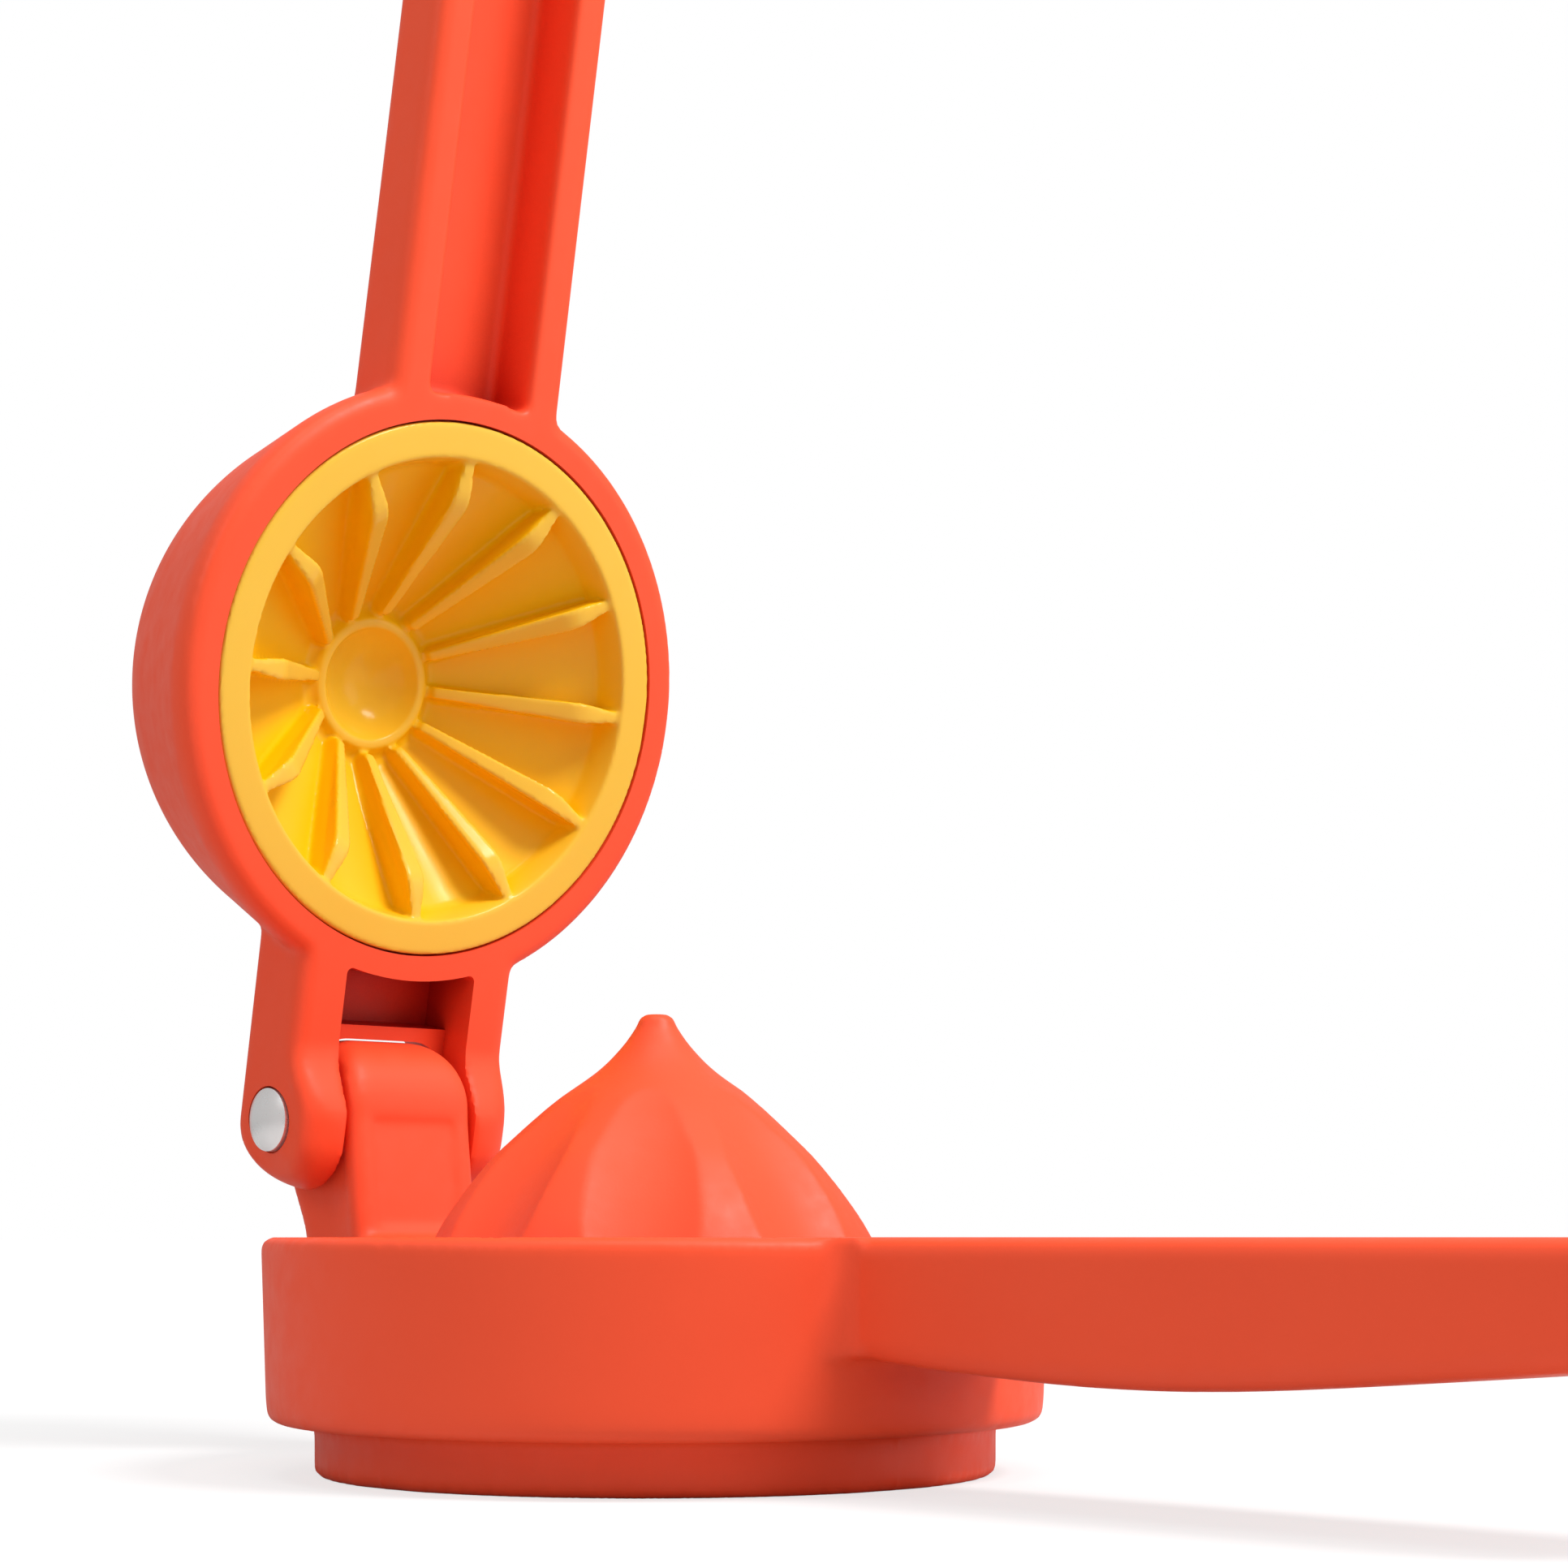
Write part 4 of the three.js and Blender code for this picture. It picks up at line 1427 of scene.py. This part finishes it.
    def shape(self) -> Object:
        """Model the whole moulding.

        Returns:
            The moulding.
        """
        layers = [self.layer(self.plate_depth), self.layer(self.rim_layer)]
        piece = Bench.combine(self.housing(), Cut.JOIN, *layers, self.clevis())
        piece = Bench.combine(piece, Cut.CARVE, self.knuckle_slot(), self.channel())
        piece = Bench.soften(piece, *self.softness)
        hinge = self.hinge
        cutters = [self.window(), self.hollow(), self.pocket(), hinge.bore(OVERRUN)]
        for side in (ACROSS, -ACROSS):
            seat = hinge.pin + side * hinge.seat_half
            out = hinge.pin + side * (hinge.clevis_half + OVERRUN)
            cutters.append(Bench.rod(hinge.head + hinge.head_gap, seat, out))
        return hinge.tip(Bench.combine(piece, Cut.CARVE, *cutters))


@dataclass
class PressInsert(CupPiece):
    """Ribbed press insert: flat ring, stepped bowl, twelve fins and a dimple."""

    name = "ribbed_insert"
    node = "press_insert"
    slot = "insert"

    steps: int = 180
    softness: tuple[float, int, float] = (0.42, 2, 0.65)
    ring_width: float = 5.7
    ring_round: float = 0.5
    wall: float = 2.2
    shelf_depth: float = 7.0
    shelf_width: float = 4.0
    dimple_radius: float = 9.6
    dimple_depth: float = 21.0
    dimple_sag: float = 6.0
    boss_wall: float = 1.3
    boss_rise: float = 1.9
    fins: int = 12
    fin_width: float = 3.5
    fin_start: float = 0.5
    fin_round: float = 0.4
    fin_round_steps: int = 3
    fin_kink: tuple[float, float] = (30.8, 1.7)
    fin_tip: tuple[float, float] = (11.8, 19.6)
    fin_taper: tuple[float, float] = (14.5, 0.5)

    @property
    def mouth(self) -> float:
        """Inner radius of the ring."""
        return self.ring_radius - self.ring_width

    @property
    def boss(self) -> float:
        """Outer radius of the boss round the dimple."""
        return self.dimple_radius + self.boss_wall

    def bowl(self) -> list[Corner]:
        """Inner side of the bowl from the boss to the ring.

        Returns:
            Corners as (radius, depth, round).
        """
        return [
            (self.boss + self.boss_rise, self.dimple_depth + self.boss_rise, self.boss_rise),
            (self.mouth - self.shelf_width, self.shelf_depth + self.wall / 2, self.shelf_depth),
            (self.mouth - self.wall / 2, self.shelf_depth - self.wall / 2, self.wall),
            (self.mouth, 0.0, self.ring_round),
        ]

    def bowl_shell(self) -> Object:
        """Turn the insert without its fins.

        Returns:
            The shell.
        """
        sphere = (self.dimple_radius**2 + self.dimple_sag**2) / (2 * self.dimple_sag)
        middle = self.dimple_depth + self.dimple_sag - sphere
        turn = math.asin(self.dimple_radius / sphere)
        dimple = arc((0, middle), sphere, math.pi / 2, math.pi / 2 - turn, 16)
        dimple[0].x = 0.0
        bottom = self.dimple_depth + self.dimple_sag + self.wall
        corners = [
            *dimple,
            (self.boss, self.dimple_depth, self.boss_wall / 2),
            *self.bowl(),
            (self.ring_radius, 0.0, self.ring_round),
            (self.ring_radius, self.ring_thickness),
            (self.mouth + self.wall, self.ring_thickness),
            (self.mouth + self.wall / 2, self.shelf_depth + self.wall),
            (self.mouth - self.shelf_width, self.shelf_depth + self.wall * 2),
            (self.boss + self.wall * 2, self.dimple_depth + self.wall * 2),
            (self.boss, bottom),
            (0.0, bottom),
        ]
        profile = [(p.x, self.face - p.y) for p in rounded(corners, closed=False)]
        return self.spun(profile, self.steps)

    def fin_ring(self) -> Object:
        """Shape one fin with its kinked crest and copy it round the bowl.

        Returns:
            All fins as one object.
        """
        boss, slope, shelf, _ = self.bowl()
        sink = self.wall / 2
        line = rounded(
            [
                (self.mouth + sink / 2, self.fin_start),
                (*self.fin_kink, self.shelf_depth),
                (*self.fin_tip, self.fin_round * 1.5),
                (self.fin_tip[0], self.dimple_depth + sink),
                (boss[0] + sink, boss[1] + sink),
                (slope[0], slope[1] + sink),
                (shelf[0], shelf[1] + sink),
                (self.mouth + sink / 2, shelf[1] - sink),
            ]
        )
        centre = self.centre
        half = self.fin_width / 2
        places = [centre + Vector((self.face - p.y, -half, p.x)) for p in line]
        fin = Bench.slab(places, ACROSS * 2 * half, self.fin_round, self.fin_round_steps)
        begin, least = self.fin_taper
        for vertex in fin.data.vertices:
            out = vertex.co.z / MM - centre.z
            for full, thin in ((begin, self.fin_tip[0]), (self.fin_kink[0], self.mouth)):
                vertex.co.y *= 1 + (least - 1) * ease((out - full) / (thin - full))
        return Bench.ring_of(fin, self.fins, centre, FORWARD)

    def shape(self) -> Object:
        """Model the whole moulding."""
        piece = Bench.combine(self.bowl_shell(), Cut.JOIN, self.fin_ring())
        return self.hinge.tip(Bench.soften(piece, *self.softness))


@dataclass
class HingePin(Piece):
    """Steel pin with a domed head and a hollow far end."""

    name = "pin"
    body = Body.ARM
    node = "hinge_pin"
    slot = "pin"

    hinge: Hinge
    steps: int = 96
    side: int = -1
    dome_rise: float = 1.2
    stud: float = 1.9
    stud_length: float = 9.0

    def head(self) -> list[Corner]:
        """Side view of a head.

        Returns:
            Points as (radius, distance from the pin's middle).
        """
        hinge = self.hinge
        sphere = (hinge.head**2 + self.dome_rise**2) / (2 * self.dome_rise)
        turn = math.asin(hinge.head / sphere)
        top = hinge.clevis_half + self.dome_rise
        dome = arc((0, top - sphere), sphere, math.pi / 2 - turn, math.pi / 2, 16)
        dome[-1].x = 0.0
        return [(hinge.head, hinge.seat_half + hinge.gap), *[tuple(p) for p in dome]]

    def shaft(self) -> list[Corner]:
        """Side view of the shank with the hole in its far end.

        Returns:
            Points as (radius, distance from the pin's middle).
        """
        hinge = self.hinge
        far, hole = -hinge.seat_half, self.stud + hinge.gap
        bottom = far + self.stud_length + hinge.gap
        near = hinge.seat_half + hinge.gap
        return [(0.0, bottom), (hole, bottom), (hole, far), (hinge.shank, far), (hinge.shank, near)]

    def shape(self) -> Object:
        """Turn the shaft and the head about the pin's axis.

        Returns:
            The solid.
        """
        pin = self.hinge.pin
        profile = [*self.shaft(), *self.head()]
        places = [pin + Vector((0.0, self.side * y, radius)) for radius, y in profile]
        return self.hinge.tip(Bench.turned(places, pin, ACROSS, self.steps))


@dataclass
class PinCap(HingePin):
    """Far head of the pin, with a stud that fits its hollow end."""

    name = "pin_cap"
    node = "hinge_pin_cap"

    side: int = 1

    def shaft(self) -> list[Corner]:
        """Side view of the stud.

        Returns:
            Points as (radius, distance from the pin's middle).
        """
        far = self.hinge.seat_half
        tip = far - self.stud_length
        return [(0.0, tip), (self.stud, tip), (self.stud, far + self.hinge.gap)]


@dataclass
class Studio:
    """Pale floor, soft lamps, white surround and the camera."""

    floor_height: float = -0.008
    floor_size: float = 60.0
    floor_grey: float = 0.55
    floor_glow: tuple[float, float, float, float] = (0.15, 1.2, 1.3, 1.7)
    glow_share: float = 0.55
    camera_place: tuple[float, float, float] = (0.3656, -0.3167, 0.028)
    camera_turn: float = math.radians(46.78)
    sensor: float = 36.0
    lens: float = 72.2
    rise: float = 0.289
    ambient: float = 0.49
    aim: tuple[float, float, float] = (-0.03, 0.0, 0.09)
    lamps: dict[str, tuple[tuple[float, float, float], float, float]] = field(
        default_factory=lambda: {
            "key_lamp": ((0.87, 0.28, 1.18), 0.55, 19.0),
            "side_lamp": ((0.95, 0.85, 0.36), 0.8, 2.4),
            "fill_lamp": ((-0.1, -0.6, 0.48), 0.3, 0.6),
            "top_lamp": ((0.2, -0.2, 1.5), 0.9, 6.0),
        }
    )

    def surround(self) -> None:
        """Light the world evenly and show it white behind the press."""
        world = bpy.data.worlds.new("surround")
        bpy.context.scene.world = world
        world.use_nodes = True
        tree = world.node_tree
        kinds = {
            "path": "ShaderNodeLightPath",
            "clear": "ShaderNodeMath",
            "strength": "ShaderNodeMapRange",
        }
        nodes = {**add_nodes(tree, kinds), "shade": tree.nodes["Background"]}
        nodes["clear"].operation = "MAXIMUM"
        values = {
            "shade": {"Color": (1.0, 1.0, 1.0, 1.0)},
            "strength": {"To Min": self.ambient, "To Max": 1.0},
        }
        links = (
            ("path", "Is Camera Ray", "clear", 0),
            ("path", "Is Transmission Ray", "clear", 1),
            ("clear", "Value", "strength", "Value"),
            ("strength", "Result", "shade", "Strength"),
        )
        wire_nodes(tree, nodes, values, links)

    def floor(self) -> None:
        """Lay the floor: it keeps the press's shadow and is otherwise white."""
        Bench.clear()
        bpy.ops.mesh.primitive_plane_add(size=self.floor_size, location=(0, 0, self.floor_height))
        floor = bpy.context.object
        floor.name = "floor"
        skin = bpy.data.materials.new("pale_floor")
        skin.use_nodes = True
        tree = skin.node_tree
        tree.nodes.remove(tree.nodes["Principled BSDF"])
        kinds = {
            "matt": "ShaderNodeBsdfDiffuse",
            "place": "ShaderNodeTexCoord",
            "away": "ShaderNodeVectorMath",
            "grade": "ShaderNodeMapRange",
            "glow": "ShaderNodeEmission",
            "path": "ShaderNodeLightPath",
            "share": "ShaderNodeMath",
            "mix": "ShaderNodeMixShader",
        }
        nodes = {**add_nodes(tree, kinds), "output": tree.nodes["Material Output"]}
        nodes["away"].operation = "LENGTH"
        nodes["share"].operation = "MULTIPLY"
        grey = self.floor_grey
        values = {
            "matt": {"Color": (grey, grey, grey, 1.0)},
            "grade": dict(zip(("From Min", "From Max", "To Min", "To Max"), self.floor_glow)),
            "share": {1: self.glow_share},
        }
        links = (
            ("place", "Object", "away", 0),
            ("away", "Value", "grade", "Value"),
            ("grade", "Result", "glow", "Strength"),
            ("path", "Is Camera Ray", "share", 0),
            ("share", "Value", "mix", "Fac"),
            ("matt", "BSDF", "mix", 1),
            ("glow", "Emission", "mix", 2),
            ("mix", "Shader", "output", "Surface"),
        )
        wire_nodes(tree, nodes, values, links)
        floor.data.materials.append(skin)

    def light(self) -> None:
        """Set the soft lamps, each turned to the press."""
        for name, (place, size, power) in self.lamps.items():
            Bench.clear()
            turn = (Vector(place) - Vector(self.aim)).to_track_quat("Z", "Y").to_euler()
            bpy.ops.object.light_add(type="AREA", location=place, rotation=turn)
            lamp = bpy.context.object
            lamp.name = name
            lamp.data.shape = "DISK"
            lamp.data.size = size
            lamp.data.energy = power

    def camera(self) -> None:
        """Set the level camera that the picture is taken with."""
        Bench.clear()
        bpy.ops.object.camera_add(
            location=self.camera_place, rotation=(math.pi / 2, 0.0, self.camera_turn)
        )
        camera = bpy.context.object
        camera.name = "picture_camera"
        camera.data.sensor_width = self.sensor
        camera.data.lens = self.lens
        camera.data.shift_y = self.rise
        camera.data.clip_start = 0.01
        bpy.context.scene.camera = camera

    def build(self) -> None:
        """Set up the whole studio."""
        self.surround()
        self.floor()
        self.light()
        self.camera()
        bpy.context.scene.view_settings.view_transform = "Standard"


def corners(box: Outline) -> list[list[float]]:
    """Both corners of a box as plain lists of numbers."""
    return [[float(value) for value in corner] for corner in box]


def main() -> None:
    """Build every piece in order, then the studio."""
    logging.basicConfig(level=logging.INFO, format="%(message)s")
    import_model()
    shell = SHELL.material()
    amber = INSERT.material()
    steel = STEEL.material()
    hinge = Hinge()
    for piece, skin in (
        (BaseShell(hinge), shell),
        (Reamer(), shell),
        (PressArm(hinge), shell),
        (PressInsert(hinge), amber),
        (HingePin(hinge), steel),
        (PinCap(hinge), steel),
    ):
        made = piece.build(skin)
        LOG.info("%s: %d faces", made.name, len(made.data.polygons))
    Studio().build()


if __name__ == "__main__":
    main()
